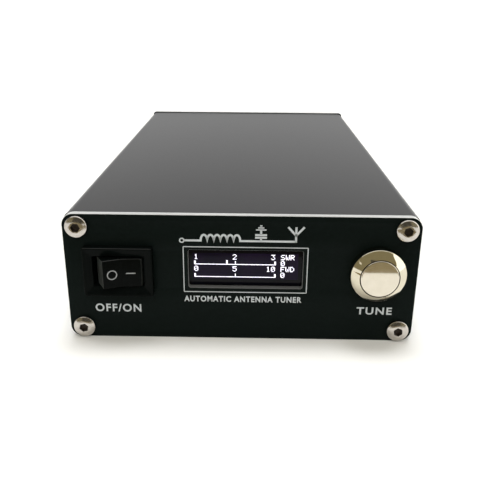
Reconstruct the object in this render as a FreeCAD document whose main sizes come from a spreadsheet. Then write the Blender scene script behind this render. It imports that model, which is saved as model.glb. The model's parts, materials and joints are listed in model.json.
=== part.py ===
"""Desktop antenna tuner: a split extruded case between two end plates, with its controls and electronics.

Frame: millimetres, +X to the right and +Z up as seen from the front, +Y from the front panel to the rear.
The origin is under the middle of the whole object, at the level of the surface it stands on.
"""
import FreeCAD, Part
import os
import re
import Sketcher

Vector, Rotation = FreeCAD.Vector, FreeCAD.Rotation

doc = FreeCAD.newDocument("AntennaTuner")
sheet = doc.addObject("Spreadsheet::Sheet", "Sizes")

SIZES = {
    # case and end plates
    "panel_wide": 76.0, "panel_tall": 29.0, "panel_thick": 1.5, "panel_corner": 2.6,
    "rear_corner": 1.2, "case_long": 130.0, "case_inset": 0.25, "case_wall": 1.5, "case_corner": 1.6,
    "seam_high": 14.5, "seam_lip": 1.2, "seam_gap": 0.05,
    "channel_radius": 2.4, "channel_bore": 1.28, "channel_side": 34.8, "channel_low": 2.75,
    "front_reach": 3.9, "rear_reach": 18.0,
    # panel screws
    "screw_radius": 1.25, "screw_long": 9.0, "screw_head_radius": 2.35, "screw_head_high": 1.4,
    "screw_dome": 1.15, "screw_hex": 0.866, "screw_hex_deep": 0.85, "screw_clear": 1.4,
    # rocker switch
    "switch_side": -26.3, "switch_high": 16.45, "bezel_wide": 14.9, "bezel_tall": 11.1, "bezel_deep": 2.0,
    "ridge_radius": 0.25, "dish_wide": 1.6, "dish_deep": 0.7, "mouth_wide": 11.0, "mouth_tall": 7.0,
    "shell_wide": 13.2, "shell_tall": 8.7, "shell_deep": 11.0, "shell_floor": 1.0, "cutout_gap": 0.1,
    "rocker_half": 4.0, "rocker_tall": 6.5, "rocker_pivot": 2.2, "rocker_crest": 4.4, "rocker_neck": 0.6,
    "rocker_flare": 5.15, "flare_back": 1.2,
    "rocker_slope": 9.0, "rocker_tilt": 13.0, "rocker_waist": 3.4, "rocker_foot": 0.9, "stem_half": 1.5,
    "stem_deep": 4.2, "stem_bore": 0.9, "stem_roof": 0.4, "rocker_pin": 0.8, "rocker_pin_long": 0.6,
    "pin_gap": 0.05, "plunger_radius": 0.8, "plunger_long": 3.0, "plunger_tip": 5.4, "plunger_nose": 0.55,
    "rocker_wire": 0.12, "rocker_coil": 0.6, "rocker_turns": 4.0, "lever_long": 8.4, "lever_thick": 0.5,
    "lever_wide": 3.2, "lever_back": 8.2, "lever_tilt": 6.0, "lever_pin": 0.5,
    "tab_wide": 3.0, "tab_thick": 0.5, "tab_start": 9.1, "tab_end": 18.0, "tab_apart": 7.6,
    "tab_eye": 0.6, "tab_eye_back": 1.5,
    # push button
    "button_side": 29.2, "button_high": 16.6, "collar_radius": 5.9, "collar_rim": 1.8, "collar_high": 3.7,
    "collar_inner": 4.25, "thread_radius": 4.95, "thread_long": 11.0, "plate_gap": 0.05, "well_deep": 2.6,
    "cap_radius": 4.15, "cap_proud": 3.9, "cap_thick": 3.3, "cap_edge": 0.3, "stem_radius": 2.6,
    "stem_gap": 0.05, "stem_end": 12.3, "press_travel": 1.2, "clip_radius": 3.6, "clip_start": 11.05,
    "clip_thick": 0.6, "button_washer_radius": 6.6, "button_washer_thick": 0.6, "button_nut_radius": 6.7,
    "button_nut_high": 2.5, "base_radius": 4.4, "base_bore": 3.9, "base_end": 15.0, "base_floor": 1.0,
    "pin_wide": 2.0, "pin_thick": 0.5, "pin_end": 19.0, "pin_apart": 4.0,
    "coil_wire": 0.3, "coil_radius": 3.3, "coil_turns": 3.0,
    # display
    "window_side": 1.0, "window_high": 16.77, "window_wide": 24.74, "window_tall": 8.87, "window_corner": 0.5,
    "gasket_thick": 0.1, "gasket_wide": 25.6, "gasket_tall": 9.7, "glass_side": 2.5, "glass_wide": 30.0,
    "glass_tall": 11.5, "glass_thick": 1.45, "card_wide": 38.0, "card_tall": 12.0, "card_thick": 1.2,
    "header_side": -15.2, "header_wide": 2.5, "header_tall": 10.16, "header_pin": 0.64,
    "header_pin_long": 6.0, "header_pitch": 2.54,
    # main board
    "board_wide": 71.9, "board_long": 118.0, "board_thick": 1.6, "board_high": 6.0, "board_back": 4.0,
    "slot_rib": 1.2, "slot_thick": 1.0, "slot_gap": 0.05,
    "relay_wide": 14.2, "relay_long": 9.3, "relay_tall": 4.6, "relay_side": 27.6, "relay_pitch": 11.4,
    "relay_start": -44.0, "relay_base": 0.8, "relay_edge": 0.3,
    "core_outer": 8.0, "core_inner": 4.6, "core_thick": 4.4, "core_start": -20.0, "core_pitch": 12.0,
    "core_side": 9.0, "wind_thick": 0.6, "wind_sweep": 300.0,
    "air_radius": 3.0, "air_wire": 0.4, "air_long": 7.5, "air_pitch": 2.5, "air_side": -9.5,
    "air_start": -20.0, "air_step": 12.0,
    "disc_radius": 3.0, "disc_thick": 2.2, "disc_side": -17.3, "disc_lift": 0.2,
    "can_radius": 3.15, "can_tall": 11.0, "can_side": 12.0, "can_start": 15.0, "can_step": 8.0,
    "regulator_wide": 10.0, "regulator_thick": 4.5, "regulator_tall": 9.0, "regulator_tab": 15.5,
    "regulator_tab_thick": 1.3, "regulator_side": -8.0, "regulator_along": 22.5, "sink_wide": 12.0,
    "sink_deep": 8.0, "sink_tall": 15.0, "sink_sheet": 1.2,
    "socket_wide": 36.0, "socket_long": 10.2, "socket_tall": 3.0, "socket_along": -40.0, "chip_wide": 35.0,
    "chip_long": 7.4, "chip_tall": 3.5, "driver_wide": 17.9, "driver_long": 7.6, "driver_tall": 2.3,
    "driver_side": 11.5, "driver_along": -51.0, "crystal_wide": 6.4, "crystal_radius": 2.3,
    "crystal_tall": 3.5, "crystal_side": 4.0, "crystal_along": -30.0,
    "bridge_outer": 5.0, "bridge_inner": 2.8, "bridge_thick": 5.0, "bridge_side": 7.5, "bridge_along": 38.5,
    "bridge_wind": 0.5, "stub_radius": 1.8, "stub_long": 14.0,
    # coaxial sockets
    "coax_side": 19.5, "coax_high": 14.5, "flange_wide": 25.4, "flange_thick": 2.0, "flange_corner": 1.0,
    "flange_pitch": 18.26, "flange_hole": 1.6, "barrel_radius": 7.94, "barrel_root": 6.9, "barrel_neck": 4.5,
    "barrel_bore": 6.2, "barrel_floor": 1.0, "coax_back_radius": 5.5, "coax_back_long": 4.5,
    "coax_back_bore": 4.2, "insulator_end": 16.0, "insulator_back": 5.5, "insulator_step": 3.0,
    "contact_radius": 2.9, "contact_bore": 2.0, "contact_end": 15.6, "contact_bore_deep": 9.0,
    "contact_tail": 1.2, "contact_back": 11.5,
    "bolt_radius": 1.5, "bolt_head": 2.7, "bolt_head_high": 1.6, "bolt_long": 8.0, "bolt_nut": 3.1,
    "bolt_nut_high": 2.2,
    # direct-current inlet and ground stud
    "inlet_high": 20.0, "inlet_radius": 4.0, "inlet_rim": 5.6, "inlet_rim_thick": 1.5, "inlet_bore": 2.75,
    "inlet_bore_end": 8.0, "inlet_back": 12.0, "inlet_pin": 1.05, "inlet_nut": 5.4, "inlet_nut_high": 2.0,
    "ground_high": 8.0, "ground_radius": 2.0, "ground_shank": 1.75, "ground_reach": 12.0, "ground_back": 6.5,
    "ground_washer": 4.4, "washer_thick": 0.8, "ground_nut": 4.0, "ground_nut_high": 3.2,
    # insulated leads
    "lead_radius": 0.45, "display_lead_radius": 0.35, "switch_lead_along": -51.5, "button_lead_along": -50.5,
    "display_lead_along": -59.3, "inlet_lead_side": 1.1, "inlet_lead_along": 43.0, "antenna_lead_along": 43.8,
}
for row, (name, value) in enumerate(SIZES.items(), start=1):
    sheet.set(f"A{row}", name)
    sheet.set(f"B{row}", str(value))
    sheet.setAlias(f"B{row}", name)
doc.recompute()

FRONT = "((front_reach - rear_reach - case_long) / 2 - panel_thick)"
REAR = "((front_reach - rear_reach + case_long) / 2 + panel_thick)"
PANEL_BACK = f"({FRONT} + panel_thick)"
REAR_INSIDE = f"({REAR} - panel_thick)"
HALF_WIDE = "(panel_wide / 2 - case_inset)"
INNER_WIDE = f"({HALF_WIDE} - case_wall)"
CASE_TOP = "(panel_tall - case_inset)"
CHANNEL_TOP = "(panel_tall - channel_low)"
BOARD_TOP = "(board_high + board_thick)"
FORWARD = Rotation(Vector(1, 0, 0), 90)     # local +Z points to -Y, out of the front
BACKWARD = Rotation(Vector(1, 0, 0), -90)   # local +Z points to +Y, out of the rear
UPRIGHT = Rotation()

nodes = []


def linked(expression):
    """The expression with the sheet's name put before each of its aliases."""
    return re.sub(r"[a-z]+(_[a-z]+)+", r"Sizes.\g<0>", expression)


def value(expression):
    """The number that an expression over the sheet's aliases gives."""
    return float(sheet.evalExpression(linked(expression)))


def bind(thing, **expressions):
    """Bind properties to expressions; a double underscore in a name stands for a dot."""
    for path, expression in expressions.items():
        thing.setExpression(path.replace("__", "."), linked(expression))


def place(thing, at, rotation=UPRIGHT):
    """Put a piece at three expressions, turned by a fixed rotation."""
    thing.Placement = FreeCAD.Placement(Vector(), rotation)
    bind(thing, Placement__Base__x=at[0], Placement__Base__y=at[1], Placement__Base__z=at[2])
    return thing


def node(thing, label):
    """Name a finished sub-part, which is then written to its own file."""
    thing.Label = label
    nodes.append(thing)
    return thing


def box(size, at):
    """A box given by its sizes and the middle of its underside."""
    made = doc.addObject("Part::Box", "Block")
    bind(made, Length=size[0], Width=size[1], Height=size[2])
    return place(made, (f"({at[0]}) - ({size[0]}) / 2", f"({at[1]}) - ({size[1]}) / 2", at[2]))


def rod(radius, long, at, rotation=UPRIGHT):
    """A cylinder that starts at a point and runs along the rotated Z."""
    made = doc.addObject("Part::Cylinder", "Rod")
    bind(made, Radius=radius, Height=long)
    return place(made, at, rotation)


def hexagon(radius, long, at, rotation=UPRIGHT):
    """A six-sided prism given by the radius over its corners."""
    made = doc.addObject("Part::Prism", "Hexagon")
    made.Polygon = 6
    bind(made, Circumradius=radius, Height=long)
    return place(made, at, rotation)


def cut(base, *tools):
    """The base with each tool taken away."""
    for tool in tools:
        made = doc.addObject("Part::Cut", "Cut")
        made.Base, made.Tool = base, tool
        base = made
    return base


def fuse(*pieces):
    """One solid of several overlapping pieces."""
    made = doc.addObject("Part::MultiFuse", "Joined")
    made.Shapes = list(pieces)
    made.Refine = True
    return made


def group(*pieces):
    """Separate solids kept together as one sub-part."""
    made = doc.addObject("Part::Compound", "Group")
    made.Links = list(pieces)
    return made


def copies(source, places, rotation=UPRIGHT):
    """The same piece at several places, as one group of separate solids."""
    links = []
    for at in places:
        link = doc.addObject("App::Link", "Copy")
        link.LinkedObject = source
        links.append(place(link, at, rotation))
    return group(*links)


def body(name, at=("0", "0", "0"), rotation=UPRIGHT):
    """An empty PartDesign body at three expressions."""
    return place(doc.addObject("PartDesign::Body", name), at, rotation)


def sketch(owner, role, offset="0"):
    """A sketch on one of the body's own origin planes, moved along the plane's normal."""
    plane = next(item for item in owner.Origin.OriginFeatures if item.Role == role)
    made = owner.newObject("Sketcher::SketchObject", "Sketch")
    made.AttachmentSupport = [(plane, "")]
    made.MapMode = "FlatFace"
    bind(made, AttachmentOffset__Base__z=offset)
    return made


def outline(drawing, points):
    """A closed run of straight lines through points given as pairs of expressions."""
    numbers = [Vector(value(x), value(y), 0) for x, y in points]
    first = drawing.GeometryCount
    for start, end in zip(numbers, numbers[1:] + numbers[:1]):
        drawing.addGeometry(Part.LineSegment(start, end))
    for n in range(len(points)):
        following = first + (n + 1) % len(points)
        drawing.addConstraint(Sketcher.Constraint("Coincident", first + n, 2, following, 1))
    for n, (pair, at) in enumerate(zip(points, numbers)):
        for kind, expression, number in (("DistanceX", pair[0], at.x), ("DistanceY", pair[1], at.y)):
            index = drawing.addConstraint(Sketcher.Constraint(kind, -1, 1, first + n, 1, number))
            drawing.setExpression(f"Constraints[{index}]", linked(expression))
    return drawing


def rectangle(drawing, wide, tall, across="0", up="0"):
    """A rectangle about a middle point."""
    left, right = f"({across}) - ({wide}) / 2", f"({across}) + ({wide}) / 2"
    low, high = f"({up}) - ({tall}) / 2", f"({up}) + ({tall}) / 2"
    return outline(drawing, [(left, low), (right, low), (right, high), (left, high)])


def circle(drawing, radius, across="0", up="0"):
    """A circle about a middle point."""
    middle = Vector(value(across), value(up), 0)
    index = drawing.addGeometry(Part.Circle(middle, Vector(0, 0, 1), value(radius)))
    for kind, expression, number in (("DistanceX", across, middle.x), ("DistanceY", up, middle.y)):
        constraint = drawing.addConstraint(Sketcher.Constraint(kind, -1, 1, index, 3, number))
        drawing.setExpression(f"Constraints[{constraint}]", linked(expression))
    constraint = drawing.addConstraint(Sketcher.Constraint("Radius", index, value(radius)))
    drawing.setExpression(f"Constraints[{constraint}]", linked(radius))
    return drawing


def pad(owner, drawing, long, reverse=False):
    """Extrude a sketch along its normal, or against it."""
    made = owner.newObject("PartDesign::Pad", "Pad")
    made.Profile = drawing
    made.Reversed = reverse
    bind(made, Length=long)
    doc.recompute()
    return made


def pocket(owner, drawing, long, reverse=False):
    """Cut a sketch's shape away against its normal, or along it, and check that it took something."""
    before = owner.Shape.Volume
    made = owner.newObject("PartDesign::Pocket", "Pocket")
    made.Profile = drawing
    made.Reversed = reverse
    bind(made, Length=long)
    doc.recompute()
    if made.Shape.Volume > before - 1e-6:
        raise RuntimeError(f"{owner.Label}: {made.Label} cuts nothing")
    return made


def turned(owner, points):
    """Turn an outline of (radius, height) pairs about the body's own Z."""
    drawing = outline(sketch(owner, "XZ_Plane"), points)
    made = owner.newObject("PartDesign::Revolution", "Revolution")
    made.Profile = drawing
    made.ReferenceAxis = (drawing, ["V_Axis"])
    made.Angle = 360
    doc.recompute()
    return made


def rounded(owner, radius, choose, kind="Fillet"):
    """Fillet or chamfer the edges of the body's tip that a test picks by their curve."""
    tip = owner.Tip
    names = [f"Edge{n}" for n, edge in enumerate(tip.Shape.Edges, start=1) if choose(edge)]
    made = owner.newObject(f"PartDesign::{kind}", kind)
    made.Base = (tip, names)
    bind(made, **{"Radius" if kind == "Fillet" else "Size": radius})
    doc.recompute()
    return made


def along(edge, axis):
    """Whether an edge is straight and runs along an axis."""
    return isinstance(edge.Curve, Part.Line) and abs(edge.Curve.Direction.dot(axis)) > 0.999


def rim_at(height):
    """A test for the circular edges at this height up a turned piece."""
    level = value(height)
    return lambda edge: isinstance(edge.Curve, Part.Circle) and abs(edge.CenterOfMass.z - level) < 0.01


def window_corner(edge):
    """Whether an edge runs through the front panel at a corner of the display's window."""
    middle = edge.CenterOfMass
    return (along(edge, Y_AXIS)
            and abs(abs(middle.x - value("window_side")) - value("window_wide") / 2) < 0.01
            and abs(abs(middle.z - value("window_high")) - value("window_tall") / 2) < 0.01)


Y_AXIS, Z_AXIS = Vector(0, 1, 0), Vector(0, 0, 1)


# ---------------------------------------------------------------- case halves
def case_half(name, side):
    """One half of the case, side 1 the upper with the groove, side -1 the lower with the tongue."""
    shell = body(name)
    plane = f"-{PANEL_BACK}"
    edge = CASE_TOP if side > 0 else "case_inset"
    sign = "-" if side > 0 else "+"
    inside = f"({edge} {sign} case_wall)"
    middle = f"({HALF_WIDE} - case_wall / 2)"
    play = "0" if side > 0 else "seam_gap"
    step, lip = f"({middle} - {play})", f"(seam_high + seam_lip - {play})"
    right = [(HALF_WIDE, edge), (HALF_WIDE, "seam_high"), (step, "seam_high"), (step, lip),
             (INNER_WIDE, lip), (INNER_WIDE, inside)]
    left = [(f"-{x}", z) for x, z in reversed(right)]
    pad(shell, outline(sketch(shell, "XZ_Plane", plane), right + left), "case_long", reverse=True)
    top = value(edge)
    rounded(shell, "case_corner", lambda e: along(e, Y_AXIS) and abs(e.CenterOfMass.z - top) < 0.01)
    height = CHANNEL_TOP if side > 0 else "channel_low"
    walls, bores = sketch(shell, "XZ_Plane", plane), sketch(shell, "XZ_Plane", plane)
    for hand in ("-", ""):
        circle(walls, "channel_radius", f"{hand}channel_side", height)
        circle(bores, "channel_bore", f"{hand}channel_side", height)
    pad(shell, walls, "case_long", reverse=True)
    pocket(shell, bores, "case_long")
    return shell


node(case_half("UpperCase", 1), "upper_case")
lower_case = case_half("LowerCase", -1)
slots = sketch(lower_case, "XZ_Plane", f"-{PANEL_BACK}")
for hand in ("-", ""):
    for level in ("board_high - slot_gap - slot_thick / 2",
                  f"{BOARD_TOP} + slot_gap + slot_thick / 2"):
        rectangle(slots, "slot_rib + case_wall / 2", "slot_thick",
                  f"{hand}({INNER_WIDE} - slot_rib / 2 + case_wall / 4)", level)
pad(lower_case, slots, "case_long", reverse=True)
node(lower_case, "lower_case")


# ---------------------------------------------------------------- end plates
def end_plate(name, front, corner):
    """A plain plate with its corners rounded, the place of its face nearer the front given."""
    plate = body(name)
    outer = sketch(plate, "XZ_Plane", f"-{front}")
    rectangle(outer, "panel_wide", "panel_tall", "0", "panel_tall / 2")
    pad(plate, outer, "panel_thick", reverse=True)
    rounded(plate, corner, lambda e: along(e, Y_AXIS))
    return plate


def holes(plate, front, spots):
    """Round holes through a plate, each a radius and its place."""
    drawing = sketch(plate, "XZ_Plane", f"-{front}")
    for radius, across, up in spots:
        circle(drawing, radius, across, up)
    pocket(plate, drawing, "panel_thick")


CORNERS = [(f"{side}channel_side", high) for side in ("-", "") for high in ("channel_low", CHANNEL_TOP)]
corner_holes = [("screw_clear", x, z) for x, z in CORNERS]

front_panel = end_plate("FrontPanel", FRONT, "panel_corner")
openings = sketch(front_panel, "XZ_Plane", f"-{FRONT}")
rectangle(openings, "window_wide", "window_tall", "window_side", "window_high")
rectangle(openings, "shell_wide + cutout_gap", "shell_tall + cutout_gap",
          "switch_side", "switch_high")
pocket(front_panel, openings, "panel_thick")
rounded(front_panel, "window_corner", window_corner)
button_hole = ("thread_radius + plate_gap", "button_side", "button_high")
holes(front_panel, FRONT, corner_holes + [button_hole])
node(front_panel, "front_panel")

FLANGE_SPOTS = [(f"{side}coax_side {across} flange_pitch / 2",
                 f"coax_high {up} flange_pitch / 2")
                for side in ("-", "") for across in ("-", "+") for up in ("-", "+")]
rear_panel = end_plate("RearPanel", REAR_INSIDE, "rear_corner")
rear_spots = corner_holes + [("flange_hole", x, z) for x, z in FLANGE_SPOTS]
for radius, across, up in (("coax_back_radius", "-coax_side", "coax_high"),
                           ("coax_back_radius", "coax_side", "coax_high"),
                           ("inlet_radius", "0", "inlet_high"),
                           ("ground_shank", "0", "ground_high")):
    rear_spots.append((f"{radius} + cutout_gap", across, up))
holes(rear_panel, REAR_INSIDE, rear_spots)
node(rear_panel, "rear_panel")


# ---------------------------------------------------------------- panel screws
def button_head_screw():
    """A button-head screw standing on its shank's end, head up, its seat at the body's origin."""
    screw = body("ButtonHeadScrew")
    turned(screw, [("0", "-screw_long"), ("screw_radius", "-screw_long"),
                   ("screw_radius", "0"), ("screw_head_radius", "0"),
                   ("screw_head_radius", "screw_head_high"), ("0", "screw_head_high")])
    rounded(screw, "screw_dome", rim_at("screw_head_high"))
    socket = sketch(screw, "XY_Plane", "screw_head_high")
    outline(socket, [(f"screw_hex * cos({turn})", f"screw_hex * sin({turn})")
                     for turn in range(0, 360, 60)])
    pocket(screw, socket, "screw_hex_deep")
    return screw


panel_screw = button_head_screw()
node(copies(panel_screw, [(x, FRONT, z) for x, z in CORNERS], FORWARD), "front_panel_screws")
node(copies(panel_screw, [(x, REAR, z) for x, z in CORNERS], BACKWARD), "rear_panel_screws")


# ---------------------------------------------------------------- rocker switch
SWITCH = ("switch_side", FRONT, "switch_high")
MOUTH_DEEP = "(shell_deep - shell_floor)"


def rocker_switch_housing():
    """Dished bezel in front of the panel and the open box behind it, with the rocker's two pivot holes."""
    housing = body("SwitchHousing", SWITCH)
    pad(housing, rectangle(sketch(housing, "XZ_Plane"), "bezel_wide", "bezel_tall"), "bezel_deep")
    ridge = -value("bezel_deep")
    rounded(housing, "ridge_radius", lambda e: abs(e.CenterOfMass.y - ridge) < 0.01)
    shell = sketch(housing, "XZ_Plane")
    pad(housing, rectangle(shell, "shell_wide", "shell_tall"), "shell_deep", reverse=True)
    mouth = sketch(housing, "XZ_Plane", "bezel_deep")
    pocket(housing, rectangle(mouth, "mouth_wide", "mouth_tall"), f"bezel_deep + {MOUTH_DEEP}")
    rim = rectangle(sketch(housing, "XZ_Plane", "bezel_deep"), "mouth_wide + 2 * dish_wide",
                    "mouth_tall + 2 * dish_wide")
    dish = pocket(housing, rim, "dish_deep")
    bind(dish, TaperAngle="-atan(dish_wide / dish_deep)")
    doc.recompute()
    pivots = sketch(housing, "XY_Plane", "-(mouth_tall / 2 + rocker_pin_long)")
    circle(pivots, "rocker_pin + pin_gap", "0", "rocker_pivot")
    circle(pivots, "lever_pin + pin_gap", "0", "lever_back")
    pocket(housing, pivots, "mouth_tall + 2 * rocker_pin_long", reverse=True)
    slots = sketch(housing, "XZ_Plane", f"-{MOUTH_DEEP}")
    for hand in ("-", ""):
        rectangle(slots, "tab_thick", "tab_wide", f"{hand}tab_apart / 2")
    pocket(housing, slots, "shell_floor")
    return housing


def rocker():
    """The rocker: two faces in a shallow V over a flared body, a stem and two pivot pins.

    It is drawn level about its pivot and then turned to the pressed side, which is where it rests.
    """
    made = body("Rocker", ("switch_side", f"{FRONT} + rocker_pivot", "switch_high"),
                Rotation(Vector(0, 0, 1), value("rocker_tilt")))
    half = [("rocker_half", "-(rocker_crest + rocker_half * tan(rocker_slope))"),
            ("rocker_flare", "-flare_back"), ("rocker_waist", "-rocker_neck"), ("rocker_waist", "rocker_foot"),
            ("stem_half", "rocker_foot"), ("stem_half", "stem_deep")]
    mirrored = [(f"-{x}", y) for x, y in reversed(half)]
    face = outline(sketch(made, "XY_Plane", "-rocker_tall / 2"),
                   [("0", "-rocker_crest")] + half + mirrored)
    pad(made, face, "rocker_tall")
    pins = circle(sketch(made, "XY_Plane", "-(rocker_tall / 2 + rocker_pin_long)"), "rocker_pin")
    pad(made, pins, "rocker_tall + 2 * rocker_pin_long")
    bore = circle(sketch(made, "XZ_Plane", "-stem_deep"), "stem_bore")
    pocket(made, bore, "stem_deep - stem_roof", reverse=True)
    return made


def inner_lever():
    """The see-saw contact inside the switch, resting towards the closed side, with its own pivot pins."""
    made = body("ContactLever", ("switch_side", f"{FRONT} + lever_back", "switch_high"),
                Rotation(Z_AXIS, -value("lever_tilt")))
    strip = rectangle(sketch(made, "XY_Plane", "-lever_wide / 2"), "lever_long", "lever_thick")
    pad(made, strip, "lever_wide")
    pins = circle(sketch(made, "XY_Plane", "-(rocker_tall / 2 + rocker_pin_long)"), "lever_pin")
    pad(made, pins, "rocker_tall + 2 * rocker_pin_long")
    return made


def coil(radius, wire, long, turns):
    """A round wire wound about Z, its ends at the heights 0 and long."""
    spine = doc.addObject("Part::Helix", "Helix")
    bind(spine, Radius=radius, Height=long, Pitch=f"({long}) / ({turns})")
    section = doc.addObject("Part::Circle", "WireSection")
    section.Placement = FreeCAD.Placement(Vector(value(radius), 0, 0), FORWARD)
    bind(section, Radius=wire, Placement__Base__x=radius)
    made = doc.addObject("Part::Sweep", "Coil")
    made.Sections, made.Spine = [section], (spine, ["Edge1"])
    made.Solid = made.Frenet = True
    return made


def swung(piece, reach):
    """A piece on the rocker's own line, this far behind its pivot, at the rocker's resting tilt."""
    turn = Rotation(Z_AXIS, value("rocker_tilt"))
    at = ("switch_side - " + reach + " * sin(rocker_tilt)",
          f"{FRONT} + rocker_pivot + " + reach + " * cos(rocker_tilt)", "switch_high")
    return copies(piece, [at], turn * BACKWARD)


node(rocker_switch_housing(), "switch_housing")
node(rocker(), "switch_rocker")
plunger = body("Plunger")
turned(plunger, [("0", "0"), ("plunger_radius", "0"), ("plunger_radius", "plunger_long"),
                 ("0", "plunger_long")])
rounded(plunger, "plunger_nose", rim_at("plunger_long"))
node(swung(plunger, "(plunger_tip - plunger_long)"), "rocker_plunger")
SPRING_ROOM = "(plunger_tip - plunger_long - stem_roof - 2 * rocker_wire)"
rocker_spring = coil("rocker_coil", "rocker_wire", SPRING_ROOM, "rocker_turns")
node(swung(rocker_spring, "(stem_roof + rocker_wire)"), "rocker_spring")
node(inner_lever(), "contact_lever")
tabs = []
for hand in ("-", "+"):
    across = f"(switch_side {hand} tab_apart / 2)"
    tab = box(("tab_thick", "tab_end - tab_start", "tab_wide"),
              (across, f"{FRONT} + (tab_start + tab_end) / 2", "switch_high - tab_wide / 2"))
    eye = rod("tab_eye", "2 * tab_thick",
              (f"{across} - tab_thick", f"{FRONT} + tab_end - tab_eye_back", "switch_high"),
              Rotation(Vector(0, 1, 0), 90))
    tabs.append(cut(tab, eye))
node(group(*tabs), "switch_terminals")


# ---------------------------------------------------------------- push button
BUTTON = ("button_side", FRONT, "button_high")


def from_panel(distance):
    """A place on the button's axis, this far behind the front of the panel."""
    return ("button_side", f"{FRONT} + {distance}", "button_high")


def push_button():
    """The pieces of the button, each turned about its axis, with heights counted out of the panel."""
    bezel = body("ButtonBezel", BUTTON, FORWARD)
    bore = "(stem_radius + stem_gap)"
    turned(bezel, [(bore, "-thread_long"), ("thread_radius", "-thread_long"),
                   ("thread_radius", "0"), ("collar_radius", "0"),
                   ("collar_radius", "collar_rim"), ("collar_inner", "collar_high"),
                   ("collar_inner", "-well_deep"), (bore, "-well_deep")])
    node(bezel, "button_bezel")
    cap = body("ButtonCap", BUTTON, FORWARD)
    under = "(cap_proud - cap_thick)"
    turned(cap, [("0", "-stem_end"), ("stem_radius", "-stem_end"), ("stem_radius", under),
                 ("cap_radius", under), ("cap_radius", "cap_proud"), ("0", "cap_proud")])
    rounded(cap, "cap_edge", rim_at("cap_proud"))
    node(cap, "button_cap")
    clip = body("ButtonClip", BUTTON, FORWARD)
    turned(clip, [("stem_radius", "-(clip_start + clip_thick)"),
                  ("clip_radius", "-(clip_start + clip_thick)"),
                  ("clip_radius", "-clip_start"), ("stem_radius", "-clip_start")])
    node(clip, "button_clip")
    base = body("ButtonBase", BUTTON, FORWARD)
    roof = "-(base_end - base_floor)"
    turned(base, [("0", "-base_end"), ("base_radius", "-base_end"),
                  ("base_radius", "-thread_long"), ("base_bore", "-thread_long"),
                  ("base_bore", roof), ("0", roof)])
    node(base, "button_base")


push_button()
SPRING_LONG = "(well_deep + cap_proud - cap_thick - 2 * coil_wire)"
button_spring = coil("coil_radius", "coil_wire", SPRING_LONG, "coil_turns")
node(copies(button_spring, [from_panel("well_deep - coil_wire")], FORWARD), "button_spring")
THREAD = rod("thread_radius", "thread_long", from_panel("0"), BACKWARD)
node(cut(rod("button_washer_radius", "button_washer_thick", from_panel("panel_thick"), BACKWARD),
         THREAD), "button_washer")
node(cut(hexagon("button_nut_radius", "button_nut_high",
                 from_panel("panel_thick + button_washer_thick"), BACKWARD), THREAD), "button_nut")
node(group(*[box(("pin_wide", "pin_end - base_end", "pin_thick"),
                 (f"button_side {hand} pin_apart / 2",
                  f"{FRONT} + (pin_end + base_end) / 2", "button_high - pin_thick / 2"))
             for hand in ("-", "+")]), "button_terminals")


# ---------------------------------------------------------------- display
def layer(wide, thick, tall, across, before):
    """An upright plate behind the front panel, centred on the window's height, after the layers before it."""
    return box((wide, thick, tall), (across, f"{PANEL_BACK} + {before} + ({thick}) / 2",
                                     f"window_high - ({tall}) / 2"))


GLASS_BACK = "(gasket_thick + glass_thick)"
CARD_BACK = f"({GLASS_BACK} + card_thick)"
node(cut(layer("glass_wide", "gasket_thick", "glass_tall", "glass_side", "0"),
         layer("gasket_wide", "gasket_thick", "gasket_tall", "window_side", "0")),
     "display_gasket")
node(layer("glass_wide", "glass_thick", "glass_tall", "glass_side", "gasket_thick"),
     "display_glass")
node(layer("card_wide", "card_thick", "card_tall", "glass_side", GLASS_BACK),
     "display_board")
header_levels = [f"(window_high + {n} * header_pitch)" for n in (-1.5, -0.5, 0.5, 1.5)]
header = [layer("header_wide", "header_wide", "header_tall", "header_side", CARD_BACK)]
for level in header_levels:
    header.append(box(("header_pin", "header_pin_long", "header_pin"),
                      ("header_side", f"{PANEL_BACK} + {CARD_BACK} + header_pin_long / 2",
                       f"{level} - header_pin / 2")))
node(fuse(*header), "display_header")


# ---------------------------------------------------------------- main board and what stands on it
BOARD_MIDDLE = f"({PANEL_BACK} + board_back + board_long / 2)"
node(box(("board_wide", "board_long", "board_thick"), ("0", BOARD_MIDDLE, "board_high")),
     "main_board")


def on_board(size, across, down, lift="0"):
    """A block standing on the board, or a given height over it."""
    return box(size, (across, down, f"{BOARD_TOP} + {lift}"))


def winding(outer, inner, thick, wire):
    """A layer of wire round a ring core about the origin, as one sleeve that leaves a gap."""
    start = ("0", "0", f"-({thick} / 2 + {wire})")
    sleeve = rod(f"{outer} + {wire}", f"{thick} + 2 * {wire}", start)
    bind(sleeve, Angle="wind_sweep")
    return cut(sleeve, rod(f"{inner} - {wire}", f"{thick} + 2 * {wire}", start), ring(outer, inner, thick))


def ring(outer, inner, thick):
    """A ring core about the origin, its axis on Z."""
    start = ("0", "0", f"-{thick} / 2")
    return cut(rod(outer, thick, start), rod(inner, thick, start))


relay_spots = [(f"{side}relay_side", f"relay_start + {n} * relay_pitch")
               for side in ("-", "") for n in range(8)]
node(group(*[on_board(("relay_wide", "relay_long", "relay_base"), x, y) for x, y in relay_spots]),
     "relay_bases")
relay_cover = body("RelayCover")
pad(relay_cover, rectangle(sketch(relay_cover, "XY_Plane"), "relay_wide", "relay_long"), "relay_tall")
rounded(relay_cover, "relay_edge", lambda e: e.CenterOfMass.z > 0.01)
node(copies(relay_cover, [(x, y, f"{BOARD_TOP} + relay_base") for x, y in relay_spots]), "relay_covers")

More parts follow.
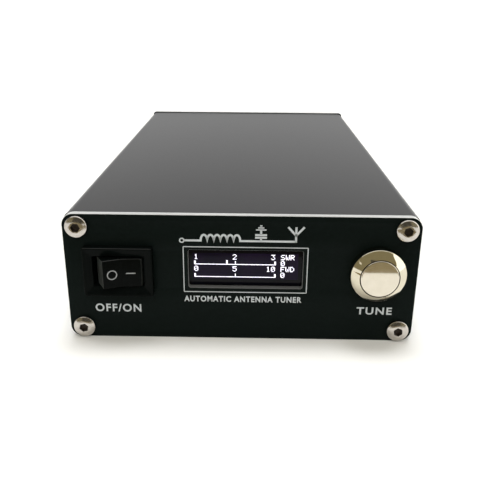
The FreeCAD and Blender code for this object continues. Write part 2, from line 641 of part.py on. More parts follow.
CORE = ("core_outer", "core_inner", "core_thick")
core_spots = [("core_side", f"core_start + {n} * core_pitch",
               f"{BOARD_TOP} + core_outer + wind_thick") for n in range(3)]
node(copies(ring(*CORE), core_spots, FORWARD), "inductor_cores")
node(copies(winding(*CORE, "wind_thick"), core_spots, FORWARD), "inductor_windings")
air_coil = coil("air_radius", "air_wire", "air_long", "air_long / air_pitch")
node(copies(air_coil, [("air_side", f"air_start + {n} * air_step",
                        f"{BOARD_TOP} + air_radius + air_wire") for n in range(4)], FORWARD), "air_coils")
node(group(*[rod("disc_radius", "disc_thick",
                 ("disc_side", f"relay_start + {n} * relay_pitch",
                  f"{BOARD_TOP} + disc_radius + disc_lift"), FORWARD) for n in range(1, 8)]),
     "disc_capacitors")
node(group(*[rod("can_radius", "can_tall",
                 ("can_side", f"can_start + {n} * can_step", BOARD_TOP)) for n in range(2)]),
     "filter_capacitors")
regulator_front = "regulator_along - regulator_tab_thick / 2 - regulator_thick / 2"
node(fuse(on_board(("regulator_wide", "regulator_thick", "regulator_tall"),
                   "regulator_side", regulator_front),
          on_board(("regulator_wide", "regulator_tab_thick", "regulator_tab"),
                   "regulator_side", "regulator_along")), "voltage_regulator")
sink_middle = "regulator_along + regulator_tab_thick / 2 + sink_deep / 2"
node(cut(on_board(("sink_wide", "sink_deep", "sink_tall"), "regulator_side", sink_middle),
         on_board(("sink_wide - 2 * sink_sheet", "sink_deep", "sink_tall"),
                  "regulator_side", f"{sink_middle} + sink_sheet")), "heat_sink")
node(on_board(("socket_wide", "socket_long", "socket_tall"), "0", "socket_along"),
     "controller_socket")
node(on_board(("chip_wide", "chip_long", "chip_tall"), "0", "socket_along",
              "socket_tall"), "controller_chip")
node(group(*[on_board(("driver_wide", "driver_long", "driver_tall"),
                      f"{side}driver_side", "driver_along") for side in ("-", "")]), "relay_drivers")
node(fuse(on_board(("crystal_wide", "2 * crystal_radius", "crystal_tall"),
                   "crystal_side", "crystal_along"),
          *[rod("crystal_radius", "crystal_tall",
                (f"crystal_side {hand} crystal_wide / 2", "crystal_along", BOARD_TOP))
            for hand in ("-", "+")]), "crystal")
BRIDGE = ("bridge_outer", "bridge_inner", "bridge_thick")
bridge_spots = [(f"{side}bridge_side", "bridge_along",
                 f"{BOARD_TOP} + bridge_outer + bridge_wind") for side in ("-", "")]
node(copies(ring(*BRIDGE), bridge_spots, FORWARD), "bridge_cores")
node(copies(winding(*BRIDGE, "bridge_wind"), bridge_spots, FORWARD), "bridge_windings")
node(group(*[rod("stub_radius", "stub_long", (x, f"{y} + stub_long / 2", up), FORWARD)
             for x, y, up in bridge_spots]), "bridge_stubs")


# ---------------------------------------------------------------- coaxial sockets
def socket_shell():
    """Square flange with four holes, threaded barrel in front of it and a plain boss behind it."""
    shell = body("SocketShell")
    pad(shell, rectangle(sketch(shell, "XY_Plane"), "flange_wide", "flange_wide"), "flange_thick")
    rounded(shell, "flange_corner", lambda e: along(e, Z_AXIS))
    turned(shell, [("0", "-coax_back_long"), ("coax_back_radius", "-coax_back_long"),
                   ("coax_back_radius", "0"), ("barrel_root", "0"),
                   ("barrel_root", "barrel_neck"), ("barrel_radius", "barrel_neck"),
                   ("barrel_radius", "rear_reach"), ("0", "rear_reach")])
    pocket(shell, circle(sketch(shell, "XY_Plane", "rear_reach"), "barrel_bore"),
           "rear_reach - barrel_floor")
    pocket(shell, circle(sketch(shell, "XY_Plane", "rear_reach"), "coax_back_bore"),
           "rear_reach + coax_back_long")
    screws = sketch(shell, "XY_Plane", "flange_thick")
    for across in ("-", ""):
        for up in ("-", ""):
            circle(screws, "flange_hole", f"{across}flange_pitch / 2", f"{up}flange_pitch / 2")
    pocket(shell, screws, "flange_thick")
    return shell


def socket_insulator():
    """The plastic core of a socket, bored for its centre contact."""
    core = body("SocketInsulator")
    turned(core, [("contact_tail", "-insulator_back"), ("coax_back_bore", "-insulator_back"),
                  ("coax_back_bore", "barrel_floor"), ("barrel_bore", "barrel_floor"),
                  ("barrel_bore", "insulator_end"), ("contact_radius", "insulator_end"),
                  ("contact_radius", "insulator_step"), ("contact_tail", "insulator_step")])
    return core


def socket_contact():
    """The centre contact, bored at the mouth and with a solder tail inside the case."""
    pin = body("SocketContact")
    floor = "(contact_end - contact_bore_deep)"
    turned(pin, [("0", "-contact_back"), ("contact_tail", "-contact_back"),
                 ("contact_tail", "insulator_step"), ("contact_radius", "insulator_step"),
                 ("contact_radius", "contact_end"), ("contact_bore", "contact_end"),
                 ("contact_bore", floor), ("0", floor)])
    return pin


def flange_screw():
    """A pan-head screw, the underside of its head at the origin."""
    screw = body("FlangeScrew")
    turned(screw, [("0", "-bolt_long"), ("bolt_radius", "-bolt_long"), ("bolt_radius", "0"),
                   ("bolt_head", "0"), ("bolt_head", "bolt_head_high"),
                   ("0", "bolt_head_high")])
    rounded(screw, "bolt_head_high / 2", rim_at("bolt_head_high"))
    return screw


def nut(radius, high, bore):
    """A plain hexagon nut standing on the origin."""
    return cut(hexagon(radius, high, ("0", "0", "0")), rod(bore, high, ("0", "0", "0")))


coax_spots = [(f"{side}coax_side", REAR, "coax_high") for side in ("-", "")]
node(copies(socket_shell(), coax_spots, BACKWARD), "coax_shells")
node(copies(socket_insulator(), coax_spots, BACKWARD), "coax_insulators")
node(copies(socket_contact(), coax_spots, BACKWARD), "coax_contacts")
node(copies(flange_screw(), [(x, f"{REAR} + flange_thick", z) for x, z in FLANGE_SPOTS], BACKWARD),
     "flange_screws")
node(copies(nut("bolt_nut", "bolt_nut_high", "bolt_radius"),
            [(x, REAR_INSIDE, z) for x, z in FLANGE_SPOTS], FORWARD), "flange_nuts")


# ---------------------------------------------------------------- direct-current inlet and ground stud
INLET = ("0", REAR, "inlet_high")
inlet = body("InletHousing", INLET, BACKWARD)
turned(inlet, [("0", "-inlet_back"), ("inlet_radius", "-inlet_back"), ("inlet_radius", "0"),
               ("inlet_rim", "0"), ("inlet_rim", "inlet_rim_thick"),
               ("inlet_bore", "inlet_rim_thick"), ("inlet_bore", "-inlet_bore_end"),
               ("0", "-inlet_bore_end")])
node(inlet, "inlet_housing")
node(rod("inlet_pin", "inlet_bore_end", ("0", f"{REAR} - inlet_bore_end", "inlet_high"),
         BACKWARD), "inlet_pin")
node(copies(nut("inlet_nut", "inlet_nut_high", "inlet_radius"),
            [("0", REAR_INSIDE, "inlet_high")], FORWARD), "inlet_nut")

STUD_SHOULDER = "(washer_thick + ground_nut_high)"
node(fuse(rod("ground_shank", f"ground_back + {STUD_SHOULDER}",
              ("0", f"{REAR} - ground_back", "ground_high"), BACKWARD),
          rod("ground_radius", f"ground_reach - {STUD_SHOULDER}",
              ("0", f"{REAR} + {STUD_SHOULDER}", "ground_high"), BACKWARD)), "ground_stud")
washer = cut(rod("ground_washer", "washer_thick", ("0", "0", "0")),
             rod("ground_shank", "washer_thick", ("0", "0", "0")))
node(copies(washer, [("0", REAR, "ground_high")], BACKWARD), "ground_washer")
ground_nut = nut("ground_nut", "ground_nut_high", "ground_shank")
node(copies(ground_nut, [("0", f"{REAR} + washer_thick", "ground_high"),
                         ("0", f"{REAR_INSIDE} - ground_nut_high", "ground_high")], BACKWARD),
     "ground_nuts")


# ---------------------------------------------------------------- insulated leads
def lead(radius, across, start, turn, level):
    """A lead that runs level along Y, bends down in one arc and ends on the board."""
    x, begin, far, high, low = (value(item) for item in (across, start, turn, level, BOARD_TOP))
    way = 1 if far > begin else -1
    bend = 0.6 * min(abs(far - begin), high - low)
    middle = Vector(x, far - way * bend, high - bend)
    half_way = middle + Vector(0, way * bend, bend) * 0.5 ** 0.5
    level_end, drop_start = Vector(x, far - way * bend, high), Vector(x, far, high - bend)
    wire = Part.Wire([Part.LineSegment(Vector(x, begin, high), level_end).toShape(),
                      Part.Arc(level_end, half_way, drop_start).toShape(),
                      Part.LineSegment(drop_start, Vector(x, far, low)).toShape()])
    section = Part.Wire([Part.Circle(Vector(x, begin, high), Y_AXIS, value(radius)).toShape()])
    return wire.makePipeShell([section], True, True)


def leads(label, runs):
    """Several leads as one sub-part."""
    made = doc.addObject("Part::Feature", "Leads")
    made.Shape = Part.makeCompound([lead(*run) for run in runs])
    node(made, label)


leads("switch_leads", [("lead_radius", f"switch_side {hand} tab_apart / 2",
                        f"{FRONT} + tab_end", "switch_lead_along", "switch_high")
                       for hand in ("-", "+")])
leads("button_leads", [("lead_radius", f"button_side {hand} pin_apart / 2",
                        f"{FRONT} + pin_end", "button_lead_along", "button_high")
                       for hand in ("-", "+")])
leads("display_leads", [("display_lead_radius", "header_side",
                         f"{PANEL_BACK} + {CARD_BACK} + header_pin_long",
                         f"display_lead_along + {n}", level) for n, level in enumerate(header_levels)])
for label, across, start, turn, level in (
        ("inlet_leads", "inlet_lead_side", "inlet_back", "inlet_lead_along", "inlet_high"),
        ("antenna_leads", "coax_side", "contact_back", "antenna_lead_along", "coax_high")):
    leads(label, [("lead_radius", f"{side}{across}", f"{REAR} - {start}", turn, level) for side in ("-", "")])


# ---------------------------------------------------------------- check and export
doc.recompute()
for item in doc.Objects:
    if {"Invalid", "Error"} & set(item.State):
        raise RuntimeError(f"{item.Label} failed: {item.State}")
os.makedirs("parts", exist_ok=True)
for item in nodes:
    if item.Shape.isNull() or not item.Shape.isValid():
        raise RuntimeError(f"{item.Label} has no sound shape")
    item.Shape.exportStep(f"parts/{item.Label}.step")
    print(f"{item.Label}: {len(item.Shape.Solids)} solids, {item.Shape.Volume:.2f} mm3")
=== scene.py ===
"""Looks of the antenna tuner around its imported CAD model. Metres, in the model's own frame."""
import json
from math import acos, asin, cos, degrees, pi, radians, sin, tan

import bmesh
import bpy
from mathutils import Matrix, Vector
from mathutils.geometry import tessellate_polygon


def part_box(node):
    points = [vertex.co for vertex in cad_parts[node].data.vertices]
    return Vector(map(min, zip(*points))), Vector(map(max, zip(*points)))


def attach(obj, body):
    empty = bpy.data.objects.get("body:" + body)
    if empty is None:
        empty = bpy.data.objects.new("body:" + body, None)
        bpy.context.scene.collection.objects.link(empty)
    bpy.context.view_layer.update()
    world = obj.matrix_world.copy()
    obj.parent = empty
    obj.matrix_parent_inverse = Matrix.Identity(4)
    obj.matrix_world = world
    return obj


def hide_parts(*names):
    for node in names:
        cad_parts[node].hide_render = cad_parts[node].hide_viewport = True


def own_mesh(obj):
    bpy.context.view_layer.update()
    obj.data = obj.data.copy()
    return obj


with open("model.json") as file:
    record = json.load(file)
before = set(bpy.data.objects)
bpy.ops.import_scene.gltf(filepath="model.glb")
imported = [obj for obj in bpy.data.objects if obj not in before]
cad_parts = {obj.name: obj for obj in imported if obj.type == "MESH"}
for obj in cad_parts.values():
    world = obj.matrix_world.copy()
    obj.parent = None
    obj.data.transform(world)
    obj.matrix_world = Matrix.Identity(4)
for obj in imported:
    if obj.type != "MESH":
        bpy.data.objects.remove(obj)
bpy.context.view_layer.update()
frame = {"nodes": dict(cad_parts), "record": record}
MM, MICRON = 0.001, 0.000001


def middle(node, axis):
    """The middle of a CAD node's box along one axis, 0 to 2."""
    low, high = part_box(node)
    return (low[axis] + high[axis]) / 2


def span(node, axis):
    """The length of a CAD node's box along one axis."""
    low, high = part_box(node)
    return high[axis] - low[axis]


FRONT, PANEL_BACK = (corner[1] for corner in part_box("front_panel"))     # its outer and its inner face
PANEL_INSIDE, REAR = (corner[1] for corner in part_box("rear_panel"))     # its inner and its outer face
REAR_INSIDE = PANEL_INSIDE - REAR           # the inner face as a height over the outer one, so below zero
PANEL_WIDE, PANEL_TALL = span("front_panel", 0), span("front_panel", 2)
PANEL_CORNER, REAR_CORNER = 2.6 * MM, 1.2 * MM
CASE_WIDE, CASE_LOW, CASE_TOP = span("upper_case", 0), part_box("lower_case")[0][2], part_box("upper_case")[1][2]
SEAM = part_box("upper_case")[0][2]           # where the case's halves meet
CASE_CORNER, CASE_WALL, LIP = 1.6 * MM, 1.5 * MM, 1.2 * MM
SCREW_SIDE, SCREW_LOW = 34.8 * MM, 2.75 * MM
SCREW_SPOTS = [(x, z) for x in (-SCREW_SIDE, SCREW_SIDE) for z in (SCREW_LOW, PANEL_TALL - SCREW_LOW)]
SWITCH = (middle("switch_housing", 0), middle("switch_housing", 2))
BUTTON = (middle("button_bezel", 0), middle("button_bezel", 2))
WINDOW = (1.0 * MM, 16.77 * MM)             # middle of the display's cut-out
WINDOW_WIDE, WINDOW_TALL, WINDOW_CORNER = 24.74 * MM, 8.87 * MM, 0.5 * MM
COAX_HIGH, COAX_SIDES = middle("coax_shells", 2), (-19.5 * MM, 19.5 * MM)
FLANGE, FLANGE_WIDE, FLANGE_STEP = 2.0 * MM, 25.4 * MM, 18.26 / 2 * MM
FLANGE_SPOTS = [(x + a * FLANGE_STEP, COAX_HIGH + b * FLANGE_STEP)
                for x in COAX_SIDES for a in (-1, 1) for b in (-1, 1)]
INLET_HIGH, GROUND_HIGH = middle("inlet_housing", 2), middle("ground_stud", 2)


# -------------------- materials
def principled(name, color, rough, metal=0.0, specular=0.5):
    """A new Principled material and its shader node."""
    material = bpy.data.materials.new(name)
    material.use_nodes = True
    shader = material.node_tree.nodes["Principled BSDF"]
    shader.inputs["Base Color"].default_value = (*color, 1.0)
    shader.inputs["Roughness"].default_value = rough
    shader.inputs["Metallic"].default_value = metal
    shader.inputs["Specular IOR Level"].default_value = specular
    return material, shader


def grain(material, scale, stretch=(1.0, 1.0, 1.0), detail=3.0):
    """Noise over the object's own coordinates, stretched along each axis; scale counts cells per metre."""
    tree = material.node_tree
    place = tree.nodes.new("ShaderNodeTexCoord")
    mapping = tree.nodes.new("ShaderNodeMapping")
    mapping.inputs["Scale"].default_value = stretch
    noise = tree.nodes.new("ShaderNodeTexNoise")
    noise.inputs["Scale"].default_value = scale
    noise.inputs["Detail"].default_value = detail
    tree.links.new(place.outputs["Object"], mapping.inputs["Vector"])
    tree.links.new(mapping.outputs["Vector"], noise.inputs["Vector"])
    return noise.outputs["Fac"]


def spread(material, source, low, high):
    """Map noise about its middle onto the range from low to high."""
    node = material.node_tree.nodes.new("ShaderNodeMapRange")
    node.inputs["From Min"].default_value = 0.3
    node.inputs["From Max"].default_value = 0.7
    node.inputs["To Min"].default_value = low
    node.inputs["To Max"].default_value = high
    material.node_tree.links.new(source, node.inputs["Value"])
    return node.outputs["Result"]


def two_tone(material, source, dark, light):
    """A colour that runs from dark to light with the noise."""
    ramp = material.node_tree.nodes.new("ShaderNodeValToRGB")
    ramp.color_ramp.elements[0].position = 0.32
    ramp.color_ramp.elements[0].color = (*dark, 1.0)
    ramp.color_ramp.elements[1].position = 0.68
    ramp.color_ramp.elements[1].color = (*light, 1.0)
    material.node_tree.links.new(source, ramp.inputs["Fac"])
    return ramp.outputs["Color"]


def bump(material, shader, source, height):
    """Relief of this height, in metres, from the noise."""
    node = material.node_tree.nodes.new("ShaderNodeBump")
    node.inputs["Distance"].default_value = height
    material.node_tree.links.new(source, node.inputs["Height"])
    material.node_tree.links.new(node.outputs["Normal"], shader.inputs["Normal"])


def surface(name, dark, light, rough, scale, metal=0.0, specular=0.5, stretch=(1.0, 1.0, 1.0),
            relief=0, fine=None):
    """A material whose colour and roughness wander with one noise.

    A second and finer noise makes its relief, which is given in micrometres.
    """
    average = tuple((a + b) / 2 for a, b in zip(dark, light))
    material, shader = principled(name, average, sum(rough) / 2, metal, specular)
    links = material.node_tree.links
    cells = grain(material, scale, stretch)
    links.new(two_tone(material, cells, dark, light), shader.inputs["Base Color"])
    links.new(spread(material, cells, *rough), shader.inputs["Roughness"])
    if relief:
        bump(material, shader, grain(material, fine or scale * 3, stretch, 4.0), relief * MICRON)
    return material


case_paint = surface("anodised_matte", (0.015, 0.015, 0.0153), (0.0168, 0.0168, 0.0171), (0.29, 0.32),
                     2600, relief=3, fine=9000)
panel_paint = surface("anodised_satin", (0.0037, 0.0061, 0.0054), (0.0045, 0.0073, 0.0066), (0.28, 0.34),
                      1500, specular=0.03, relief=4, fine=9000)
bare_edge = surface("bare_aluminium", (0.66, 0.67, 0.66), (0.78, 0.79, 0.78), (0.26, 0.38), 2600, metal=0.5,
                    stretch=(0.02, 1.0, 1.0), relief=6, fine=9000)      # brushed along X
# A darker copy of the bare edge, on the openings and the upright sides.
darker_edge = surface("darker_edge_metal", (0.15, 0.155, 0.155), (0.21, 0.215, 0.215), (0.34, 0.46), 2600,
                   metal=0.3, relief=6, fine=9000)
engraving = surface("laser_engraving", (0.42, 0.45, 0.47), (0.52, 0.55, 0.57), (0.5, 0.7), 9000, relief=10)
steel = surface("nickel_screw", (0.5, 0.47, 0.435), (0.6, 0.565, 0.525), (0.12, 0.24), 1500, metal=1.0,
                relief=4, fine=7000)
# Painted shade: the dark brown inside the screws' recesses.
recess_shade = surface("recess_painted_shade", (0.014, 0.009, 0.006), (0.06, 0.044, 0.032), (0.4, 0.6), 3500,
                      metal=0.4)
black_moulding = surface("black_moulding", (0.0022, 0.0032, 0.003), (0.0029, 0.004, 0.0037), (0.2, 0.26),
                         1200, specular=0.03, relief=4, fine=6500)
# Painted highlight: a glossier, slightly lighter copy of the black moulding, put on the upper ridge and upper
# edges alone.
ridge_highlight_moulding = surface("ridge_painted_highlight", (0.003, 0.004, 0.0038), (0.0038, 0.005, 0.0047), (0.14, 0.18),
                         1200, specular=0.6)
rocker_moulding = surface("rocker_moulding", (0.002, 0.0026, 0.0025), (0.0027, 0.0034, 0.0033), (0.2, 0.28),
                          900, specular=0.03, relief=4, fine=6000)
# Painted light: the rocker's two ends in a matte moulding painted lighter, as if lit from the left.
lit_rocker_end = surface("rocker_end_painted_light", (0.026, 0.029, 0.027), (0.034, 0.038, 0.036), (0.4, 0.5), 2500,
                     specular=0.1, relief=8, fine=8000)
mark_print = surface("mark_print", (0.22, 0.23, 0.24), (0.32, 0.33, 0.34), (0.45, 0.6), 6000)
champagne = surface("champagne_nickel", (0.66, 0.61, 0.48), (0.71, 0.66, 0.53), (0.05, 0.08), 500, metal=1.0)
cap_metal = surface("polished_cap", (0.68, 0.63, 0.53), (0.72, 0.67, 0.57), (0.04, 0.06), 700, metal=1.0)
# Painted shade: the dark brown of the collar's inner wall, in the gap round the cap.
gap_shade = surface("ring_gap_painted_shade", (0.022, 0.015, 0.008), (0.034, 0.024, 0.014), (0.5, 0.7), 3000, specular=0.08)
glass_dark = surface("display_glass", (0.001, 0.001, 0.0024), (0.0018, 0.0016, 0.004), (0.05, 0.09), 160,
                     specular=0.12)
glass_active = surface("display_active", (0.002, 0.0014, 0.007), (0.0085, 0.0034, 0.018), (0.06, 0.1),
                       110, specular=0.12)
board_mask = surface("solder_mask", (0.01, 0.075, 0.03), (0.02, 0.13, 0.05), (0.3, 0.42), 600, relief=20)


def lit_pixels():
    """Bluish white light of the display's lit points, a little uneven."""
    material, shader = principled("lit_pixels", (0.8, 0.8, 0.9), 0.4)
    links = material.node_tree.links
    tint = two_tone(material, grain(material, 2200), (0.8, 0.78, 1.0), (1.0, 0.97, 1.0))
    links.new(tint, shader.inputs["Base Color"])
    links.new(tint, shader.inputs["Emission Color"])
    shader.inputs["Emission Strength"].default_value = 0.95
    return material


pixel_light = lit_pixels()

SLOT_LOOKS = {
    "case_black": case_paint, "panel_black": panel_paint, "steel_bright": steel,
    "black_plastic": black_moulding, "button_metal": champagne, "display_glass": glass_dark,
    "board_green": board_mask,
    "relay_plastic": surface(
        "relay_cover", (0.62, 0.62, 0.58), (0.72, 0.72, 0.68), (0.35, 0.5), 800, relief=20),
    "ferrite": surface(
        "coated_core", (0.22, 0.015, 0.012), (0.34, 0.03, 0.022), (0.4, 0.55), 1200, relief=40),
    "copper_wire": surface(
        "enamelled_copper", (0.55, 0.2, 0.07), (0.7, 0.3, 0.12), (0.2, 0.3), 2500, metal=1.0, relief=10),
    "ceramic": surface(
        "dipped_ceramic", (0.42, 0.2, 0.03), (0.55, 0.29, 0.06), (0.25, 0.4), 700, relief=40),
    "can_sleeve": surface("can_sleeve", (0.012, 0.014, 0.03), (0.02, 0.024, 0.05), (0.2, 0.3), 600),
    "chip_epoxy": surface(
        "chip_epoxy", (0.012, 0.012, 0.012), (0.022, 0.022, 0.022), (0.5, 0.7), 4000, relief=20),
    "sink_aluminium": surface(
        "sink_aluminium", (0.62, 0.63, 0.64), (0.75, 0.76, 0.77), (0.3, 0.45), 1500, metal=1.0,
        stretch=(1.0, 1.0, 0.05), relief=10),
    "socket_nickel": surface(
        "socket_nickel", (0.62, 0.615, 0.59), (0.67, 0.66, 0.635), (0.2, 0.26), 900, metal=1.0, relief=2,
        fine=7000),
    "insulator_white": surface(
        "fluoroplastic", (0.74, 0.73, 0.68), (0.83, 0.82, 0.78), (0.35, 0.5), 700, relief=10),
    "contact_gold": surface(
        "gold_plate", (0.72, 0.48, 0.16), (0.85, 0.62, 0.26), (0.14, 0.26), 1500, metal=1.0),
    "spring_steel": surface(
        "spring_steel", (0.45, 0.45, 0.46), (0.6, 0.6, 0.61), (0.25, 0.4), 3000, metal=1.0),
    "tin_plate": surface(
        "tin_plate", (0.52, 0.52, 0.52), (0.66, 0.66, 0.65), (0.3, 0.45), 1800, metal=1.0, relief=10),
    "brass_plain": surface(
        "turned_brass", (0.55, 0.38, 0.14), (0.7, 0.52, 0.22), (0.2, 0.34), 1500, metal=1.0, relief=6),
    "nylon_black": surface(
        "black_nylon", (0.01, 0.01, 0.011), (0.018, 0.018, 0.019), (0.4, 0.55), 1500, relief=20),
    "lead_insulation": surface(
        "lead_insulation", (0.34, 0.02, 0.015), (0.45, 0.035, 0.025), (0.35, 0.5), 900, relief=10),
    "foam_black": surface(
        "black_foam", (0.008, 0.008, 0.008), (0.018, 0.018, 0.018), (0.8, 0.95), 5000, relief=50),
}
for part in frame["record"]["subparts"]:
    cad_node = frame["nodes"][part["node"]]
    cad_node.data.materials.clear()
    cad_node.data.materials.append(SLOT_LOOKS[part["material_slot"]])


# -------------------- mesh tools
ARC_STEPS, EASE_STEPS = 10, 3               # round a corner, and over a plate's eased edge
SIDE_SHARE = 0.49                           # the most that a rounded corner takes of a side
LEAST_COSINE = 0.4                          # at sharper corners a ribbon's mitre is cut short
FORWARD = Matrix.Rotation(radians(90), 4, "X")      # local +Z out of the front
BACKWARD = Matrix.Rotation(radians(-90), 4, "X")    # local +Z out of the rear
HALF_TURN = Matrix.Rotation(pi, 4, "Z")             # from the front's view to the rear's


def placed(name, data):
    """A new object in the scene that shows this data."""
    made = bpy.data.objects.new(name, data)
    bpy.context.scene.collection.objects.link(made)
    return made


def piece(name, vertices, faces, materials, body="case", slot="case_black", stands_for=None, placing=None,
          indices=None, crease=35):
    """A finished closed piece: faces outwards, smooth but for its creases, riding on a body."""
    mesh = bpy.data.meshes.new(name)
    mesh.from_pydata(vertices, [], faces)
    if placing is not None:
        mesh.transform(placing)
    for material in materials:
        mesh.materials.append(material)
    if indices is not None:
        mesh.polygons.foreach_set("material_index", indices)
    mesh.validate()
    work = bmesh.new()
    work.from_mesh(mesh)
    bmesh.ops.recalc_face_normals(work, faces=work.faces)
    work.to_mesh(mesh)
    work.free()
    mesh.shade_smooth()
    mesh.set_sharp_from_angle(angle=radians(crease))
    made = placed(name, mesh)
    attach(made, body)
    if stands_for:
        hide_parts(stands_for)
    return made


def in_mm(*points):
    """Points or rings whose first two numbers are given in millimetres."""
    return [(first * MM, second * MM, *rest) for first, second, *rest in points]


def joined(first, second):
    """The faces between two closed loops of the same length."""
    following = [*range(1, len(first)), 0]
    return [[first[k], first[j], second[j], second[k]] for k, j in enumerate(following)]


def eased(points, radii, closed=False, steps=6):
    """A run of 2-D points with each corner rounded by its own radius."""
    out = []
    last = len(points) - 1
    for n, (point, radius) in enumerate(zip(points, radii)):
        here = Vector(point)
        if radius <= 0 or (not closed and n in (0, last)):
            out.append(tuple(here))
            continue
        before, after = Vector(points[n - 1]) - here, Vector(points[(n + 1) % len(points)]) - here
        shorter = min(before.length, after.length)
        back = min(radius / tan(before.angle(after) / 2), SIDE_SHARE * shorter)
        start, end = here + before.normalized() * back, here + after.normalized() * back
        for k in range(steps + 1):
            t = k / steps
            out.append(tuple(start.lerp(here, t).lerp(here.lerp(end, t), t)))
    return out


def turned(name, rings, materials, at, way, segments, closed=False, **kept):
    """Rings of (radius, height, material index) joined round an axis, the index that of the band before it.

    A radius may be a function of the angle and height, and 0 closes the end to a point. A closed run of
    rings joins its last to its first, as in a sleeve.
    """
    vertices, faces, indices, loops = [], [], [], []
    for ring in rings:
        radius, height = ring[:2]
        start = len(vertices)
        if radius == 0:
            vertices.append((0.0, 0.0, height))
            loops.append([start] * segments)
            continue
        for k in range(segments):
            angle = 2 * pi * k / segments
            r = radius(angle, height) if callable(radius) else radius
            vertices.append((r * cos(angle), r * sin(angle), height))
        loops.append(range(start, start + segments))
    bands = list(zip(loops, loops[1:], rings[1:]))
    if closed:
        bands.append((loops[-1], loops[0], rings[0]))
    for before, now, ring in bands:
        for k in range(segments):
            j = (k + 1) % segments
            corners = list(dict.fromkeys((before[k], before[j], now[j], now[k])))
            faces.append(corners)
            indices.append(ring[2] if len(ring) > 2 else 0)
    return piece(name, vertices, faces, materials, placing=Matrix.Translation(at) @ way, indices=indices,
                 **kept)


def rounded_rectangle(x, z, wide, tall, corner, grow=1):
    """An outline that an inset draws in; grow is 1 for an edge and -1 for an opening."""
    def points(inset):
        w, h, r = wide / 2 - grow * inset, tall / 2 - grow * inset, max(corner - grow * inset, 0.01 * MM)
        out = []
        for n, (sx, sz) in enumerate(((1, 1), (-1, 1), (-1, -1), (1, -1))):
            for k in range(ARC_STEPS + 1):
                angle = pi / 2 * (n + k / ARC_STEPS)
                out.append((x + sx * (w - r) + r * cos(angle), z + sz * (h - r) + r * sin(angle)))
        return out
    return points


def round_hole(x, z, radius, steps=48):
    """A circular opening that an inset widens."""
    def points(inset):
        r, angles = radius + inset, [2 * pi * k / steps for k in range(steps)]
        return [(x + r * cos(angle), z + r * sin(angle)) for angle in angles]
    return points


def sharp(points):
    """An outline that no inset changes."""
    return lambda inset: points


def drawn_in(corners, radii):
    """A polygon's outline that an inset draws in, its corners then rounded; the corners run clockwise."""
    def points(inset):
        moved = []
        for n, corner in enumerate(corners):
            here = Vector(corner)
            one = (here - Vector(corners[n - 1])).normalized()
            two = (Vector(corners[(n + 1) % len(corners)]) - here).normalized()
            inward = Vector((one.y, -one.x)) + Vector((two.y, -two.x))
            moved.append(tuple(here + inward * (inset / (1 + one.dot(two)))))
        return eased(moved, radii, closed=True, steps=5)
    return points


def slab(name, outlines, near, far, materials, ease=0, way=1, crease=50, **kept):
    """A plate between two planes across Y: the first outline is its edge, the rest are openings.

    Material 0 is on its faces, 1 on its outer edge and 2 round its openings, or the last one there is. Way
    is 1 if near faces the front.
    """
    thick = abs(far - near)
    turns = [pi / 2 * k / EASE_STEPS for k in range(EASE_STEPS + 1 if ease else 1)]
    profile = [(ease * (1 - sin(turn)), ease * (1 - cos(turn))) for turn in turns]
    profile += [(inset, thick - depth) for inset, depth in reversed(profile)]
    vertices, faces, indices, rims = [], [], [], []
    for number, outline in enumerate(outlines):
        loops, look = [], min(1 + (number > 0), len(materials) - 1)
        for inset, depth in profile:
            points = outline(inset)
            loops.append(range(len(vertices), len(vertices) + len(points)))
            vertices += [(x, near + way * depth, z) for x, z in points]
        for first, second in zip(loops, loops[1:]):
            faces += joined(first, second)
            indices += [look] * len(first)
        rims.append((loops[0], loops[-1]))
    for side in (0, 1):
        rings = [[Vector((vertices[v][0], vertices[v][2], 0)) for v in rim[side]] for rim in rims]
        order = [v for rim in rims for v in rim[side]]
        for triangle in tessellate_polygon(rings):
            faces.append([order[v] for v in triangle])
            indices.append(0)
    return piece(name, vertices, faces, materials, indices=indices, crease=crease, **kept)


def ribbon(points, wide, closed=False):
    """The flat band of this width along a 2-D line, mitred at its corners: vertices and faces."""
    count = len(points)
    vertices, faces = [], []
    for n, point in enumerate(points):
        here = Vector(point)
        ways = []
        if closed or n:
            ways.append((here - Vector(points[n - 1])).normalized())
        if closed or n < count - 1:
            ways.append((Vector(points[(n + 1) % count]) - here).normalized())
        way = sum(ways, Vector((0, 0))).normalized()
        side = Vector((-way.y, way.x)) * (wide / 2 / max(way.dot(ways[0]), LEAST_COSINE))
        vertices += [tuple(here + side), tuple(here - side)]
    for n in range(count if closed else count - 1):
        a, b = 2 * n, 2 * ((n + 1) % count)
        faces.append([a, a + 1, b + 1, b])
    return vertices, faces


def relief(name, flats, at, material, proud=0.03 * MM, body="case", slot="panel_black", placing=None):
    """Flat 2-D faces that stand this proud of a plane that faces the front, and as deep in it."""
    vertices, faces = [], []
    for flat_vertices, flat_faces in flats:
        start, count = len(vertices), len(flat_vertices)
        vertices += [(x, at + way * proud, z) for way in (-1, 1) for x, z in flat_vertices]
        edges = set()
        for face in flat_faces:
            faces.append([start + v for v in face])
            faces.append([start + count + v for v in reversed(face)])
            for a, b in zip(face, list(face[1:]) + [face[0]]):
                if (b, a) in edges:
                    edges.remove((b, a))
                else:
                    edges.add((a, b))
        faces += [[start + b, start + a, start + count + a, start + count + b] for a, b in sorted(edges)]
    return piece(name, vertices, faces, [material], body=body, slot=slot, placing=placing, crease=40)


